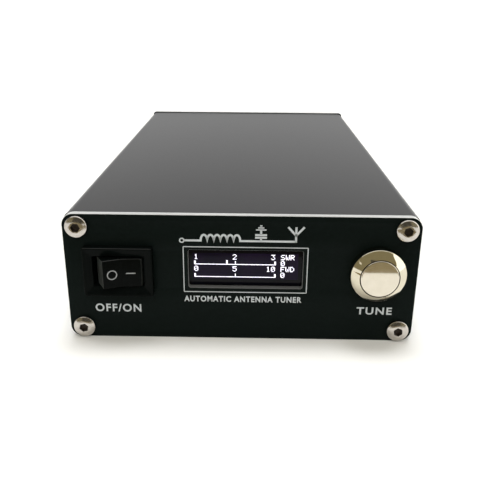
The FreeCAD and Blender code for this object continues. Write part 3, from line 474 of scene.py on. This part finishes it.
def lettering(words, left, right, low, high, weight):
    """Flat words in the built-in font, stretched to fill a box in millimetres: vertices and faces."""
    curve = bpy.data.curves.new("words", "FONT")
    curve.body, curve.offset, curve.fill_mode, curve.resolution_u = words, weight, "FRONT", 5
    curve.space_character = 1.18
    holder = placed("words", curve)
    bpy.context.view_layer.update()
    mesh = bpy.data.meshes.new_from_object(holder)
    xs, ys = [v.co.x for v in mesh.vertices], [v.co.y for v in mesh.vertices]
    x0, y0 = min(xs), min(ys)
    wide, tall = (right - left) / (max(xs) - x0), (high - low) / (max(ys) - y0)
    vertices = in_mm(*((left + (x - x0) * wide, low + (y - y0) * tall) for x, y in zip(xs, ys)))
    faces = [list(p.vertices) for p in mesh.polygons]
    bpy.data.objects.remove(holder)
    bpy.data.curves.remove(curve)
    bpy.data.meshes.remove(mesh)
    return vertices, faces


def arc(x, z, radius, start, end, steps=14):
    """Points of an arc between two angles in degrees."""
    angles = [radians(start + (end - start) * k / steps) for k in range(steps + 1)]
    return [(x + radius * cos(a), z + radius * sin(a)) for a in angles]


def hexagon(corner):
    """The radius of a hexagon at each angle, from its radius over the corners."""
    flat = corner * cos(pi / 6)
    return lambda angle, height: flat / cos(angle % (pi / 3) - pi / 6)


def within(shape, radius):
    """A radius function cut off at this radius, as a chamfer cuts a hexagon's corners."""
    return lambda angle, height: min(shape(angle, height), radius)


# -------------------- case and end plates
CHANNEL, CHANNEL_BORE, RIB, RIB_REACH, PLAY = 2.4 * MM, 1.28 * MM, 1.0 * MM, 1.2 * MM, 0.05 * MM


def case_section(top):
    """The outline of a case half: shell, tongue or groove, the board's ribs and the screw channels."""
    half, inner = CASE_WIDE / 2, CASE_WIDE / 2 - CASE_WALL
    edge, channel = (CASE_TOP, PANEL_TALL - SCREW_LOW) if top else (CASE_LOW, SCREW_LOW)
    play = 0 if top else PLAY
    step, level = half - CASE_WALL / 2 - play, SEAM + LIP - play
    right = eased([(0, edge), (half, edge), (half, SEAM), (step, SEAM), (step, level), (inner, level)],
                  [0, CASE_CORNER, 0.2 * MM, 0, 0, 0], steps=8)
    reach = inner - SCREW_SIDE
    if not top:
        (_, _, board_low), (_, _, board_high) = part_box("main_board")
        rib, lower = inner - RIB_REACH, board_low - PLAY
        upper = board_high + PLAY
        right += [(inner, upper + RIB), (rib, upper + RIB), (rib, upper), (inner, upper), (inner, lower),
                  (rib, lower)]
        reach -= RIB_REACH
    side = degrees(acos(reach / CHANNEL))
    end = 180 + degrees(asin((CASE_WALL - SCREW_LOW + CASE_LOW) / -CHANNEL))
    sign = -1 if top else 1
    right += arc(SCREW_SIDE, channel, CHANNEL, sign * side, sign * end)
    return right + [(-x, z) for x, z in reversed(right[1:])]


def case_halves():
    """The two halves of the extruded case between the end plates."""
    for name, node, top in (("case_top", "upper_case", True), ("case_base", "lower_case", False)):
        high = PANEL_TALL - SCREW_LOW if top else SCREW_LOW
        bores = [round_hole(x, high, CHANNEL_BORE, 24) for x in (-SCREW_SIDE, SCREW_SIDE)]
        slab(name, [sharp(case_section(top))] + bores, PANEL_BACK, PANEL_INSIDE, [case_paint], crease=35,
             stands_for=node)


def end_plates():
    """The two screwed plates: black faces, bright edges above and below, and duller sides and openings."""
    looks, ease = [panel_paint, bare_edge, darker_edge], 0.04 * MM
    edge, rear_edge = (rounded_rectangle(0, PANEL_TALL / 2, PANEL_WIDE, PANEL_TALL, corner)
                       for corner in (PANEL_CORNER, REAR_CORNER))
    screws = [round_hole(x, z, 1.4 * MM) for x, z in SCREW_SPOTS]
    window = rounded_rectangle(*WINDOW, WINDOW_WIDE, WINDOW_TALL, WINDOW_CORNER, grow=-1)
    switch = rounded_rectangle(*SWITCH, 13.3 * MM, 8.8 * MM, 0.2 * MM, grow=-1)
    openings = [window, switch, round_hole(*BUTTON, 5.0 * MM)]
    front = slab("front_plate", [edge] + openings + screws, FRONT, PANEL_BACK, looks, ease,
                 slot="panel_black", stands_for="front_panel")
    openings = [round_hole(x, COAX_HIGH, 5.6 * MM) for x in COAX_SIDES]
    openings += [round_hole(x, z, 1.6 * MM) for x, z in FLANGE_SPOTS]
    openings += [round_hole(0, INLET_HIGH, 4.1 * MM), round_hole(0, GROUND_HIGH, 1.85 * MM)]
    rear = slab("rear_plate", [rear_edge] + openings + screws, REAR, PANEL_INSIDE, looks, ease, way=-1,
                slot="panel_black", stands_for="rear_panel")
    for plate in (front, rear):
        for face in plate.data.polygons:
            # The upright sides take the darker copy of the bare edge, as the openings do.
            if face.material_index == 1 and abs(face.normal.x) > 0.7:       # an upright side
                face.material_index = 2


BULGE = 0.05 * MM


def crowned(start, end, steps):
    """The points of a profile's slope from start to end that bulges a little, without the first."""
    return [(start[0] + (end[0] - start[0]) * k / steps,
             start[1] + (end[1] - start[1]) * k / steps + BULGE * sin(pi * k / steps))
            for k in range(1, steps + 1)]


def button_head(name, at, way, spin):
    """A domed screw head with a hexagon socket, on its shank."""
    head, shoulder, crown, round_off, bevel = 2.42 * MM, 0.85 * MM, 1.32 * MM, 0.45 * MM, 0.08 * MM
    mouth, socket, deep = 1.2 * MM, hexagon(1.06 * MM), 0.35 * MM
    rings = in_mm((0, -9.0), (0.95, -9.0), (1.25, -8.7), (1.25, 0)) + [(head - bevel, 0), (head, bevel)]
    rings += eased([(head, 0.1 * MM), (head, shoulder), (mouth, crown)], [0, round_off, 0], steps=10)[1:-1]
    rings += crowned(rings[-1], (mouth, crown), 8)
    # The socket's walls and floor take the painted shade.
    rings += [(socket, crown), (socket, deep, 1), (0, deep - 0.25 * MM, 1)]
    return turned(name, rings, [steel, recess_shade], at, way @ Matrix.Rotation(spin, 4, "Z"), 72,
                  slot="steel_bright")


def panel_screws():
    """Four button-head screws in each end plate, each stopped at its own angle."""
    for label, face, way in (("front", FRONT, FORWARD), ("rear", REAR, BACKWARD)):
        for n, (x, z) in enumerate(SCREW_SPOTS):
            made = button_head(f"{label}_screw_{n + 1}", (x, face, z), way, 0.7 * n + 0.3)
            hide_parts(f"{label}_panel_screws")


# -------------------- rocker switch
ROCKER_PIVOT, ROCKER_TALL, ROCKER_TILT, FACET_TILT = 2.2 * MM, 6.5 * MM, radians(13), radians(9)
ROCKER = Matrix.Translation((SWITCH[0], FRONT + ROCKER_PIVOT, SWITCH[1]))
ROCKER @= Matrix.Rotation(ROCKER_TILT, 4, "Z")
CREST = 4.4 * MM                            # from the pivot to the middle of the rocker's face


def switch_bezel():
    """The switch's body: a frame that dishes from outer ridge to mouth, and an open box behind it."""
    section = [(6.6, 4.35, -11.0), (6.6, 4.35, 0), (7.45, 5.55, 0), (7.45, 5.55, 1.8), (7.43, 5.53, 1.91),
               (7.36, 5.46, 1.98), (7.25, 5.35, 2.0), (7.16, 5.2, 1.99), (7.08, 5.08, 1.95),
               (5.62, 3.62, 1.34), (5.53, 3.53, 1.28), (5.5, 3.5, 1.16), (5.5, 3.5, -10.0)]
    vertices, faces, rims = [], [], []
    for half_wide, half_tall, out in section:
        corner = 0.45 if half_wide > 7 else 0.2
        points = rounded_rectangle(*SWITCH, 2 * half_wide * MM, 2 * half_tall * MM, corner * MM)(0)
        rims.append(range(len(vertices), len(vertices) + len(points)))
        vertices += [(x, FRONT - out * MM, z) for x, z in points]
    for first, second in zip(rims, rims[1:]):
        faces += joined(first, second)
    faces += [list(rims[0]), list(rims[-1])]
    bezel = piece("switch_bezel", vertices, faces, [black_moulding, ridge_highlight_moulding], slot="black_plastic",
                  crease=40, stands_for="switch_housing")
    dish = FRONT - 1.85 * MM
    for face in bezel.data.polygons:
        # The upper ridge takes the painted highlight.
        if face.normal.z > 0.5 and face.center.y < dish:                    # the upper ridge
            face.material_index = 1


def rocker_key():
    """The flared rocker, its two faces in a shallow V and its edges eased, with its printed ring and bar."""
    half = 4.0 * MM
    right = [(half, -(CREST + half * tan(FACET_TILT)))]
    right += in_mm((5.15, -1.2), (3.4, -0.6), (3.4, 0.9), (1.5, 0.9), (1.5, 4.2))
    corners = [(0, -CREST)] + right + [(-x, y) for x, y in reversed(right)]
    side = [0.2 * MM, 0.25 * MM] + [0.1 * MM] * 4
    outline = drawn_in([(x, -y) for x, y in corners], [0.25 * MM] + side + side[::-1])
    looks = [rocker_moulding, rocker_moulding, lit_rocker_end, ridge_highlight_moulding]
    key = slab("rocker_key", [outline], -ROCKER_TALL / 2, ROCKER_TALL / 2, looks, 0.22 * MM, body="rocker",
               slot="black_plastic", stands_for="switch_rocker", crease=40,
               placing=ROCKER @ FORWARD)            # the slab's depth becomes the rocker's height
    for face in key.data.polygons:
        # The two ends take the moulding that is painted lighter, as if lit from the left.
        if abs(face.normal.x) > 0.8:                                        # an end
            face.material_index = 2
        # The eased upper edges take the painted highlight.
        elif 0.3 < face.normal.z < 0.98:                                    # an eased upper edge
            face.material_index = 3
    ring = ribbon(arc(-2.15 * MM, -0.14 * MM, 0.98 * MM, 0, 360, 40)[:-1], 0.23 * MM, closed=True)
    bar = ribbon(in_mm((0.85, -0.06), (2.85, -0.06)), 0.25 * MM)
    for name, turn, mark in (("mark_off", FACET_TILT, ring), ("mark_on", -FACET_TILT, bar)):
        facet = ROCKER @ Matrix.Translation((0, -CREST, 0)) @ Matrix.Rotation(turn, 4, "Z")
        relief(name, [mark], 0, mark_print, 0.02 * MM, body="rocker", slot="black_plastic", placing=facet)


# -------------------- push button
def push_button():
    """The button's domed collar with its barrel, drawn without a thread, and its flat cap with a rounded rim."""
    at = (BUTTON[0], FRONT, BUTTON[1])
    rim, high, inner, outer, bore = 2.3 * MM, 3.7 * MM, 4.18 * MM, 5.95 * MM, 2.65 * MM
    well, round_off, foot, bevel = -2.6 * MM, 0.38 * MM, 0.1 * MM, 0.08 * MM
    rings = [(bore, -11.0 * MM)] + in_mm((4.65, -11.0), (4.95, -10.7), (4.95, 0))
    rings += [(outer - foot, 0), (outer, foot), (outer, rim - round_off)]
    dome = eased([(outer, 0), (outer, rim), (inner + bevel, high)], [0, round_off, 0], steps=8)[1:]
    rings += dome[:-1] + crowned(dome[-2], dome[-1], 18)
    # The inner wall, down into the well, takes the painted shade of the gap.
    rings += [(inner, high - bevel, 1), (inner, well, 1), (bore, well, 1)]
    turned("button_collar", rings, [champagne, gap_shade], at, FORWARD, 128, closed=True, slot="button_metal",
           stands_for="button_bezel", crease=40)
    radius, edge, top, under = 4.08 * MM, 0.25 * MM, 3.9 * MM, 0.6 * MM
    rings = in_mm((0, -12.3), (2.5, -12.3), (2.6, -12.2))
    rings += [(2.6 * MM, under), (radius, under), (radius, top - edge)]
    rings += arc(radius - edge, top - edge, edge, 0, 90, 10)[1:]
    rings += [(radius - edge - 0.04 * MM, top), (0, top)]
    turned("button_face", rings, [cap_metal], at, FORWARD, 128, body="button", slot="button_metal",
           stands_for="button_cap", crease=40)


def button_spring():
    """The button's CAD spring, given a mesh of its own; nothing here shortens it as the cap goes in."""
    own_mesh(frame["nodes"]["button_spring"])


# -------------------- display
GLYPHS = {
    "0": ".###./#...#/#..##/#.#.#/##..#/#...#/.###.", "1": "..#../.##../..#../..#../..#../..#../.###.",
    "2": ".###./#...#/....#/...#./..#../.#.../#####", "3": "#####/...#./..#../...#./....#/#...#/.###.",
    "5": "#####/#..../####./....#/....#/#...#/.###.", "S": ".####/#..../#..../.###./....#/....#/####.",
    "W": "#...#/#...#/#...#/#.#.#/#.#.#/#.#.#/.#.#.", "R": "####./#...#/#...#/####./#.#../#..#./#...#",
    "F": "#####/#..../#..../####./#..../#..../#....", "D": "###../#..#./#...#/#...#/#...#/#..#./###..",
}
CELL_WIDE, CELL_TALL = 6, 8                 # dots in one character's cell
SCREEN_WIDE, SCREEN_TALL, DOT = 128, 32, 0.1744 * MM
SCREEN = (0.94 * MM, 16.85 * MM)            # middle of the lit area


def lit_dots():
    """The display's lit dots: two scales with their numbers, a marker, and two readings."""
    dots = set()
    for row, column, words in ((0, 0, "1"), (0, 8, "2"), (0, 16, "3"), (0, 18, "SWR"), (1, 18, "0"),
                               (2, 0, "0"), (2, 8, "5"), (2, 15, "10"), (2, 18, "FWD"), (3, 18, "0")):
        for place, letter in enumerate(words, start=column):
            for down, line in enumerate(GLYPHS[letter].split("/")):
                dots |= {(place * CELL_WIDE + across, row * CELL_TALL + down)
                         for across, dot in enumerate(line) if dot == "#"}
    scale_end, tick_high = 101, 5
    scales, marker = (13, 30), (40, 41)     # the rows of the scales' lines, the columns of the marker
    for base in scales:
        dots |= {(across, base) for across in range(scale_end + 1)}
        for tick in (0, 1, scale_end // 2 + 1, scale_end - 1, scale_end):
            dots |= {(tick, base - up) for up in range(tick_high)}
    return dots | {(across, scales[0] - up) for across in marker for up in range(tick_high + 1)}


def display():
    """The display's lit area and its dots, as thin films on the face of its glass."""
    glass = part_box("display_glass")[0][1]
    wide, tall = SCREEN_WIDE * DOT, SCREEN_TALL * DOT
    slab("screen_area", [rounded_rectangle(*SCREEN, wide + 0.6 * MM, tall + 0.5 * MM, 0.1 * MM)],
         glass - 0.012 * MM, glass + 0.02 * MM, [glass_active], slot="display_glass")
    left, top = SCREEN[0] - wide / 2, SCREEN[1] + tall / 2
    flats = []
    for across, down in sorted(lit_dots()):
        x, z, size = left + across * DOT, top - down * DOT, DOT * 0.97
        flats.append(([(x, z), (x + size, z), (x + size, z - size), (x, z - size)], [[0, 1, 2, 3]]))
    relief("screen_dots", flats, glass - 0.02 * MM, pixel_light, 0.006 * MM, slot="display_glass")


# -------------------- engraving on the panels
def ground_bars(x, z, reaches, step, wide):
    """The bars of a ground sign, one after another by this step, from their half lengths in millimetres."""
    return [ribbon([(x - reach * MM, z + n * step), (x + reach * MM, z + n * step)], wide)
            for n, reach in enumerate(reaches)]


def network_sign():
    """A circuit sign: terminal, coil, capacitor to ground and an aerial."""
    line, thin, level, terminal = 0.44 * MM, 0.26 * MM, 23.35 * MM, 0.45 * MM
    left, coil_start, coil_end, branch, right = (v * MM for v in (-12.6, -8.6, -0.2, 4.2, 11.6))
    bumps, stretch, loops = 6, 1.9, []
    radius = (coil_end - coil_start) / (2 * bumps)
    for n in range(bumps):
        loops += arc(coil_start + radius * (2 * n + 1), level, radius, 180, 0, 10)[0 if n == 0 else 1:]
    wave = [(left + terminal, level)] + [(x, level + (z - level) * stretch) for x, z in loops]
    plate, low, high, top = 1.25 * MM, level + 0.8 * MM, level + 1.4 * MM, level + 2.55 * MM
    aerial, arm, fall = 26.6 * MM, 1.7 * MM, 1.9 * MM
    flats = [ribbon(arc(left, level, terminal, 0, 360, 24)[:-1], thin, closed=True)]
    flats += [ribbon(points, line) for points in (
        wave + [(right, level)], [(right, level - line / 2), (right, aerial)],
        [(right - arm, aerial), (right, aerial - fall), (right + arm, aerial)],
        [(branch, level), (branch, low)], [(branch - plate, low), (branch + plate, low)],
        [(branch - plate, high), (branch + plate, high)], [(branch, high), (branch, top)])]
    return flats + ground_bars(branch, top, (1.1, 0.65, 0.25), 0.45 * MM, thin)


def front_engraving():
    """The window's border, the words for the switch, the button and the whole, and the circuit sign."""
    border = rounded_rectangle(0.95 * MM, 16.65 * MM, 26.63 * MM, 10.53 * MM, 0.12 * MM)(0)
    relief("window_border", [ribbon(border, 0.19 * MM, closed=True)], FRONT, engraving)
    for name, *words in (("switch_label", "OFF/ON", -32.15, -22.0, 6.25, 8.15, 0.02),
                         ("button_label", "TUNE", 25.5, 33.25, 6.4, 8.15, 0.02),
                         ("purpose_label", "AUTOMATIC ANTENNA TUNER", -12.4, 13.3, 9.0, 10.4, 0.03)):
        relief(name, [lettering(*words)], FRONT, engraving)
    relief("network_sign", network_sign(), FRONT, engraving)


def rear_engraving():
    """Words and a ground sign beside the rear connectors, as read from behind."""
    for name, *words in (("antenna_label", "ANT", 32.6, 36.9, 13.7, 15.3, 0.03),
                         ("radio_label", "TX", -36.3, -33.3, 13.7, 15.3, 0.03),
                         ("supply_label", "DC", -1.2, 1.2, 12.75, 14.05, 0.03)):
        relief(name, [lettering(*words)], -REAR, engraving, placing=HALF_TURN)
    x, z = 5.6 * MM, 3.2 * MM
    flats = [ribbon([(x, z + 0.9 * MM), (x, z)], 0.22 * MM)]
    flats += ground_bars(x, z, (0.9, 0.55, 0.22), -0.4 * MM, 0.2 * MM)
    relief("ground_label", flats, -REAR, engraving, placing=HALF_TURN)


# -------------------- coaxial sockets
def screw_thread(crest, start, end, pitch, deep):
    """The radius of a V thread that fades out at both ends."""
    def radius(angle, height):
        turn = (height / pitch - angle / (2 * pi)) % 1
        groove = 1 - abs(2 * turn - 1)
        fade = min(1, max(0, (height - start) / pitch), max(0, (end - height) / pitch))
        return crest - deep * max(0, groove * 1.15 - 0.1) * fade
    return radius


def coax_socket(n, x):
    """A flanged socket: square flange, threaded barrel, insulator and slotted centre contact."""
    at = (x, REAR, COAX_HIGH)
    hand = ("left", "right")[n]
    nickel, white, gold = (SLOT_LOOKS[s] for s in ("socket_nickel", "insulator_white", "contact_gold"))
    flange = rounded_rectangle(x, COAX_HIGH, FLANGE_WIDE, FLANGE_WIDE, 1.0 * MM)
    bolts = [round_hole(a, b, 1.6 * MM, 32) for a, b in FLANGE_SPOTS if abs(a - x) < FLANGE_WIDE / 2]
    slab(f"coax_flange_{hand}", [flange, round_hole(x, COAX_HIGH, 6.0 * MM)] + bolts, REAR + FLANGE, REAR,
         [nickel], 0.2 * MM, way=-1, slot="socket_nickel", stands_for="coax_shells")
    start, end, crest, pitch, rows = 4.5 * MM, 18.0 * MM, 7.94 * MM, 25.4 / 24 * MM, 150
    thread = screw_thread(crest, start + 0.3 * MM, end - 0.4 * MM, pitch, 0.6 * MM)
    rings = in_mm((4.2, -4.5), (5.4, -4.5), (5.5, -4.4), (5.5, 0.4), (6.4, 0.4), (6.4, 2.0), (6.9, 2.25),
                  (6.9, 4.5), (7.59, 4.5))
    rings += [(thread, start + 0.25 * MM + (end - start - 0.65 * MM) * k / rows) for k in range(rows + 1)]
    rings += in_mm((7.49, 18.0), (6.35, 18.0), (6.2, 17.85), (6.2, 1.0), (4.2, 1.0))
    turned(f"coax_barrel_{hand}", rings, [nickel], at, BACKWARD, 96, closed=True, slot="socket_nickel",
           stands_for="coax_shells", crease=50)
    rings = in_mm((1.2, -5.5), (4.1, -5.5), (4.19, -5.4), (4.19, 1.0), (6.19, 1.0), (6.19, 15.85),
                  (6.05, 16.0), (4.6, 16.0), (4.4, 15.7), (3.5, 15.7), (3.3, 16.0), (2.95, 16.0),
                  (2.9, 15.9), (2.9, 3.0), (1.2, 3.0))
    turned(f"coax_insulator_{hand}", rings, [white], at, BACKWARD, 72, closed=True, slot="insulator_white",
           stands_for="coax_insulators")
    rings = in_mm((0, -11.5), (1.1, -11.5), (1.2, -11.4), (1.2, 3.0), (2.88, 3.0), (2.88, 10.6), (2.0, 10.6),
                  (2.0, 6.6), (0, 6.1))
    turned(f"coax_contact_{hand}", rings, [gold], at, BACKWARD, 48, slot="contact_gold",
           stands_for="coax_contacts")
    for k in range(4):
        from_slot, to_slot = 90 * k + 4, 90 * k + 86
        finger = arc(x, COAX_HIGH, 2.88 * MM, from_slot, to_slot, 10)
        finger += arc(x, COAX_HIGH, 2.0 * MM, to_slot, from_slot, 10)
        slab(f"coax_finger_{hand}_{k + 1}", [sharp(finger)], REAR + 15.5 * MM, REAR + 10.5 * MM, [gold],
             way=-1, slot="contact_gold", stands_for="coax_contacts")


def cross_recess(reach, half):
    """The radius of a cross-shaped recess at each angle, from its arms' length and half width."""
    def radius(angle, height):
        arm = (angle + pi / 4) % (pi / 2) - pi / 4
        return min(reach / cos(arm), half / max(abs(sin(arm)), 1e-6))
    return radius


def flange_fasteners():
    """A pan-head screw with a cross recess at each corner of the flanges."""
    for n, (x, z) in enumerate(FLANGE_SPOTS):
        cross, steps = cross_recess(1.35 * MM, 0.32 * MM), 8
        rings = in_mm((0, -8.0), (1.2, -8.0), (1.5, -7.7), (1.5, 0), (2.6, 0), (2.7, 0.1), (2.7, 0.55))
        rings += in_mm(*((1.8 + 0.9 * cos(pi / 2 * k / steps), 0.55 + 0.95 * sin(pi / 2 * k / steps))
                         for k in range(1, steps + 1)))
        # The cross recess takes the painted shade.
        rings += [(1.55 * MM, 1.57 * MM), (cross, 1.58 * MM), (cross, 0.6 * MM, 1), (0, 0.5 * MM, 1)]
        turned(f"flange_screw_{n + 1}", rings, [steel, recess_shade], (x, REAR + FLANGE, z),
               BACKWARD @ Matrix.Rotation(0.9 * n, 4, "Z"), 96, slot="steel_bright",
               stands_for="flange_screws")


# -------------------- supply inlet and ground stud
def supply_inlet():
    """The round supply inlet with a stepped rim, and its centre pin with a rounded tip."""
    at = (0, REAR, INLET_HIGH)
    rings = in_mm((0, -12.0), (4.0, -12.0), (4.0, 0), (5.4, 0), (5.6, 0.2), (5.6, 1.0), (5.25, 1.45),
                  (5.1, 1.5), (3.6, 1.5), (3.4, 1.35), (3.15, 1.35), (2.75, 0.9), (2.75, -8.0), (0, -8.0))
    turned("inlet_body", rings, [black_moulding], at, BACKWARD, 72, slot="black_plastic",
           stands_for="inlet_housing")
    rings = in_mm((0, -8.0), (1.05, -8.0), (1.05, -0.7), (0.95, -0.35), (0.7, -0.1), (0.35, 0), (0, 0))
    turned("inlet_centre", rings, [SLOT_LOOKS["tin_plate"]], at, BACKWARD, 32, slot="tin_plate",
           stands_for="inlet_pin")


def ground_terminal():
    """The threaded ground stud with its washer and a chamfered nut on each side of the plate."""
    brass, at, rows = SLOT_LOOKS["brass_plain"], (0, REAR, GROUND_HIGH), 100
    thread = screw_thread(2.0 * MM, 4.1 * MM, 11.8 * MM, 0.7 * MM, 0.38 * MM)
    rings = in_mm((0, -6.5), (1.5, -6.5), (1.75, -6.25), (1.75, 4.0))
    rings += [(thread, (4.0 + 7.6 * k / rows) * MM) for k in range(rows + 1)]
    rings += in_mm((1.6, 12.0), (0, 12.0))
    turned("ground_post", rings, [brass], at, BACKWARD, 64, slot="brass_plain", stands_for="ground_stud",
           crease=50)
    rings = in_mm((1.78, 0), (4.3, 0), (4.4, 0.1), (4.4, 0.7), (4.3, 0.8), (1.78, 0.8))
    turned("ground_disc", rings, [steel], at, BACKWARD, 72, closed=True, slot="steel_bright",
           stands_for="ground_washer")
    washer, high, corner = 0.8 * MM, 3.2 * MM, hexagon(4.0 * MM)
    cut, bore, mouth, sink, chamfer = within(corner, 3.55 * MM), 1.78 * MM, 2.1 * MM, 0.3 * MM, 0.45 * MM
    for name, low in (("ground_nut_outer", washer), ("ground_nut_inner", REAR_INSIDE - high)):
        top = low + high
        rings = [(bore, low + sink), (mouth, low), (cut, low), (corner, low + chamfer),
                 (corner, top - chamfer), (cut, top), (mouth, top), (bore, top - sink)]
        turned(name, rings, [brass], at, BACKWARD, 72, closed=True, slot="brass_plain",
               stands_for="ground_nuts", crease=25)


# -------------------- studio
TABLE_HIGH = 0.3 * MM                       # of the table card over the floor
BACKDROP = 4.0                              # metres to each side, and high
SKY_FRONT, SKY_BACK = (0.27, 0.235, 0.14), (0.2, 0.2, 0.2)
SKY_BACK_LOW = SKY_RIM = (1.2, 1.2, 1.2)


def sheet(name, corners, material):
    """A sheet of the studio, not of the object: one quad after another between pairs of corners."""
    mesh = bpy.data.meshes.new(name)
    mesh.from_pydata(corners, [], [[n, n + 1, n + 3, n + 2] for n in range(0, len(corners) - 2, 2)])
    mesh.materials.append(material)
    made = placed(name, mesh)
    return made


def pair(wide, y, z):
    """Two corners of a sheet, this far to each side."""
    return [(-wide, y, z), (wide, y, z)]


def glow(name, color, strength):
    """A plain emitter for the cards and the backdrop."""
    material = bpy.data.materials.new(name)
    material.use_nodes = True
    tree = material.node_tree
    tree.nodes.clear()
    emitter, output = tree.nodes.new("ShaderNodeEmission"), tree.nodes.new("ShaderNodeOutputMaterial")
    emitter.inputs["Color"].default_value = (*color, 1.0)
    emitter.inputs["Strength"].default_value = strength
    tree.links.new(emitter.outputs["Emission"], output.inputs["Surface"])
    return material


def card(name, corners, color, strength=1.0):
    """A glowing sheet that shows in reflections alone."""
    made = sheet(name, corners, glow(name + "_tone", color, strength))
    made.visible_camera = made.visible_diffuse = made.visible_shadow = made.visible_transmission = False


def studio():
    """A pale floor, a white backdrop that the camera alone sees, cards for reflections and two soft suns."""
    floor_look = surface("pale_floor", (0.82, 0.82, 0.81), (0.86, 0.86, 0.85), (0.7, 0.9), 6, specular=0.1)
    sheet("floor", pair(20, -20, 0) + pair(20, 20, 0), floor_look)
    near, far, widest, end_high = FRONT - 44.6 * MM, -3.0, 1.1, 0.35
    card("table_edge", pair(0.1, near, TABLE_HIGH) + pair(widest, far, TABLE_HIGH)
         + pair(widest, far, end_high), (0.34, 0.285, 0.17))
    for name, x, y, z, long, high, color, strength in (
            ("right_card", 0.42, 0.2, 0.42, 0.435, 0.42, (1.0, 1.0, 0.94), 1.9),
            ("left_card", -0.5, -0.4, 0.26, 0.035, 0.03, (1.0, 0.95, 0.84), 1.0)):
        card(name, [(x, y + a * long, z + b * high) for b in (-1, 1) for a in (-1, 1)], color, strength)
    card("dark_card", pair(0.39, -0.8, 0.08) + pair(0.39, -0.8, 0.8), (0.085, 0.078, 0.062))
    card("roof_card", pair(0.5, FRONT - 0.18, 0.5) + pair(0.5, FRONT + 0.6, 0.5), (1.0, 1.0, 1.0), 1.2)
    ring = [(x * BACKDROP, y * BACKDROP) for x, y in ((-1, -1), (1, -1), (1, 1), (-1, 1), (-1, -1))]
    walls = sheet("backdrop", [(x, y, z) for x, y in ring for z in (0, BACKDROP)],
                  glow("backdrop_tone", SKY_RIM, 1.0))
    walls.visible_glossy = walls.visible_diffuse = walls.visible_shadow = walls.visible_transmission = False
    for name, high, around, angle, strength in (
            ("key_sun", 80, 90, 26, 2.5), ("fill_sun", 48, -90, 50, 1.55)):
        light = bpy.data.lights.new(name, "SUN")
        light.energy, light.angle = strength, radians(angle)
        rise, turn = radians(high), radians(around)
        away = Vector((cos(turn) * cos(rise), sin(turn) * cos(rise), sin(rise)))
        sun = placed(name, light)
        sun.rotation_euler = away.to_track_quat("Z", "Y").to_euler()
        sun.visible_glossy = False


def sky():
    """Light from all round: dim and warm in front, pale behind, brighter low down, white at the horizon."""
    world = bpy.data.worlds.new("studio_sky")
    bpy.context.scene.world = world
    world.use_nodes = True
    tree = world.node_tree
    background = tree.nodes["Background"]
    place, split = tree.nodes.new("ShaderNodeTexCoord"), tree.nodes.new("ShaderNodeSeparateXYZ")
    tree.links.new(place.outputs["Generated"], split.inputs["Vector"])

    def ramp(source, low, high):
        node = tree.nodes.new("ShaderNodeMapRange")
        node.interpolation_type = "SMOOTHSTEP"
        node.inputs["From Min"].default_value, node.inputs["From Max"].default_value = low, high
        tree.links.new(source, node.inputs["Value"])
        return node.outputs["Result"]

    def mixed(factor, first, second):
        node = tree.nodes.new("ShaderNodeMix")
        node.data_type = "RGBA"
        tree.links.new(factor, node.inputs["Factor"])
        for socket, value in ((node.inputs["A"], first), (node.inputs["B"], second)):
            if isinstance(value, tuple):
                socket.default_value = (*value, 1.0)
            else:
                tree.links.new(value, socket)
        return node.outputs["Result"]

    back = mixed(ramp(split.outputs["Z"], 0.04, 0.4), SKY_BACK_LOW, SKY_BACK)
    around = mixed(ramp(split.outputs["Y"], -0.15, 0.25), SKY_FRONT, back)
    tree.links.new(mixed(ramp(split.outputs["Z"], 0.02, 0.06), SKY_RIM, around), background.inputs["Color"])


def camera():
    """The camera at the photograph's place and angle."""
    yaw, pitch, roll, place = -0.01781, 0.36203, 0.006714, (1.968 * MM, FRONT - 124.145 * MM, 70.603 * MM)
    ahead, right = Vector((sin(yaw), cos(yaw), 0)), Vector((cos(yaw), -sin(yaw), 0))
    up = Vector((0, 0, 1))
    forward = ahead * cos(pitch) - up * sin(pitch)
    above = up * cos(pitch) + ahead * sin(pitch)
    across = right * cos(roll) + above * sin(roll)
    above = above * cos(roll) - right * sin(roll)
    lens = bpy.data.cameras.new("camera")
    lens.sensor_width, lens.lens = 36.0, 47.04
    lens.clip_start, lens.clip_end = 0.005, 100
    made = placed("camera", lens)
    made.matrix_world = Matrix.Translation(place) @ Matrix((across, above, -forward)).transposed().to_4x4()
    bpy.context.scene.camera = made


case_halves()
end_plates()
panel_screws()
switch_bezel()
rocker_key()
push_button()
button_spring()
display()
front_engraving()
rear_engraving()
for number, side in enumerate(COAX_SIDES):
    coax_socket(number, side)
flange_fasteners()
supply_inlet()
ground_terminal()
studio()
sky()
camera()
bpy.context.scene.view_settings.view_transform = "Standard"
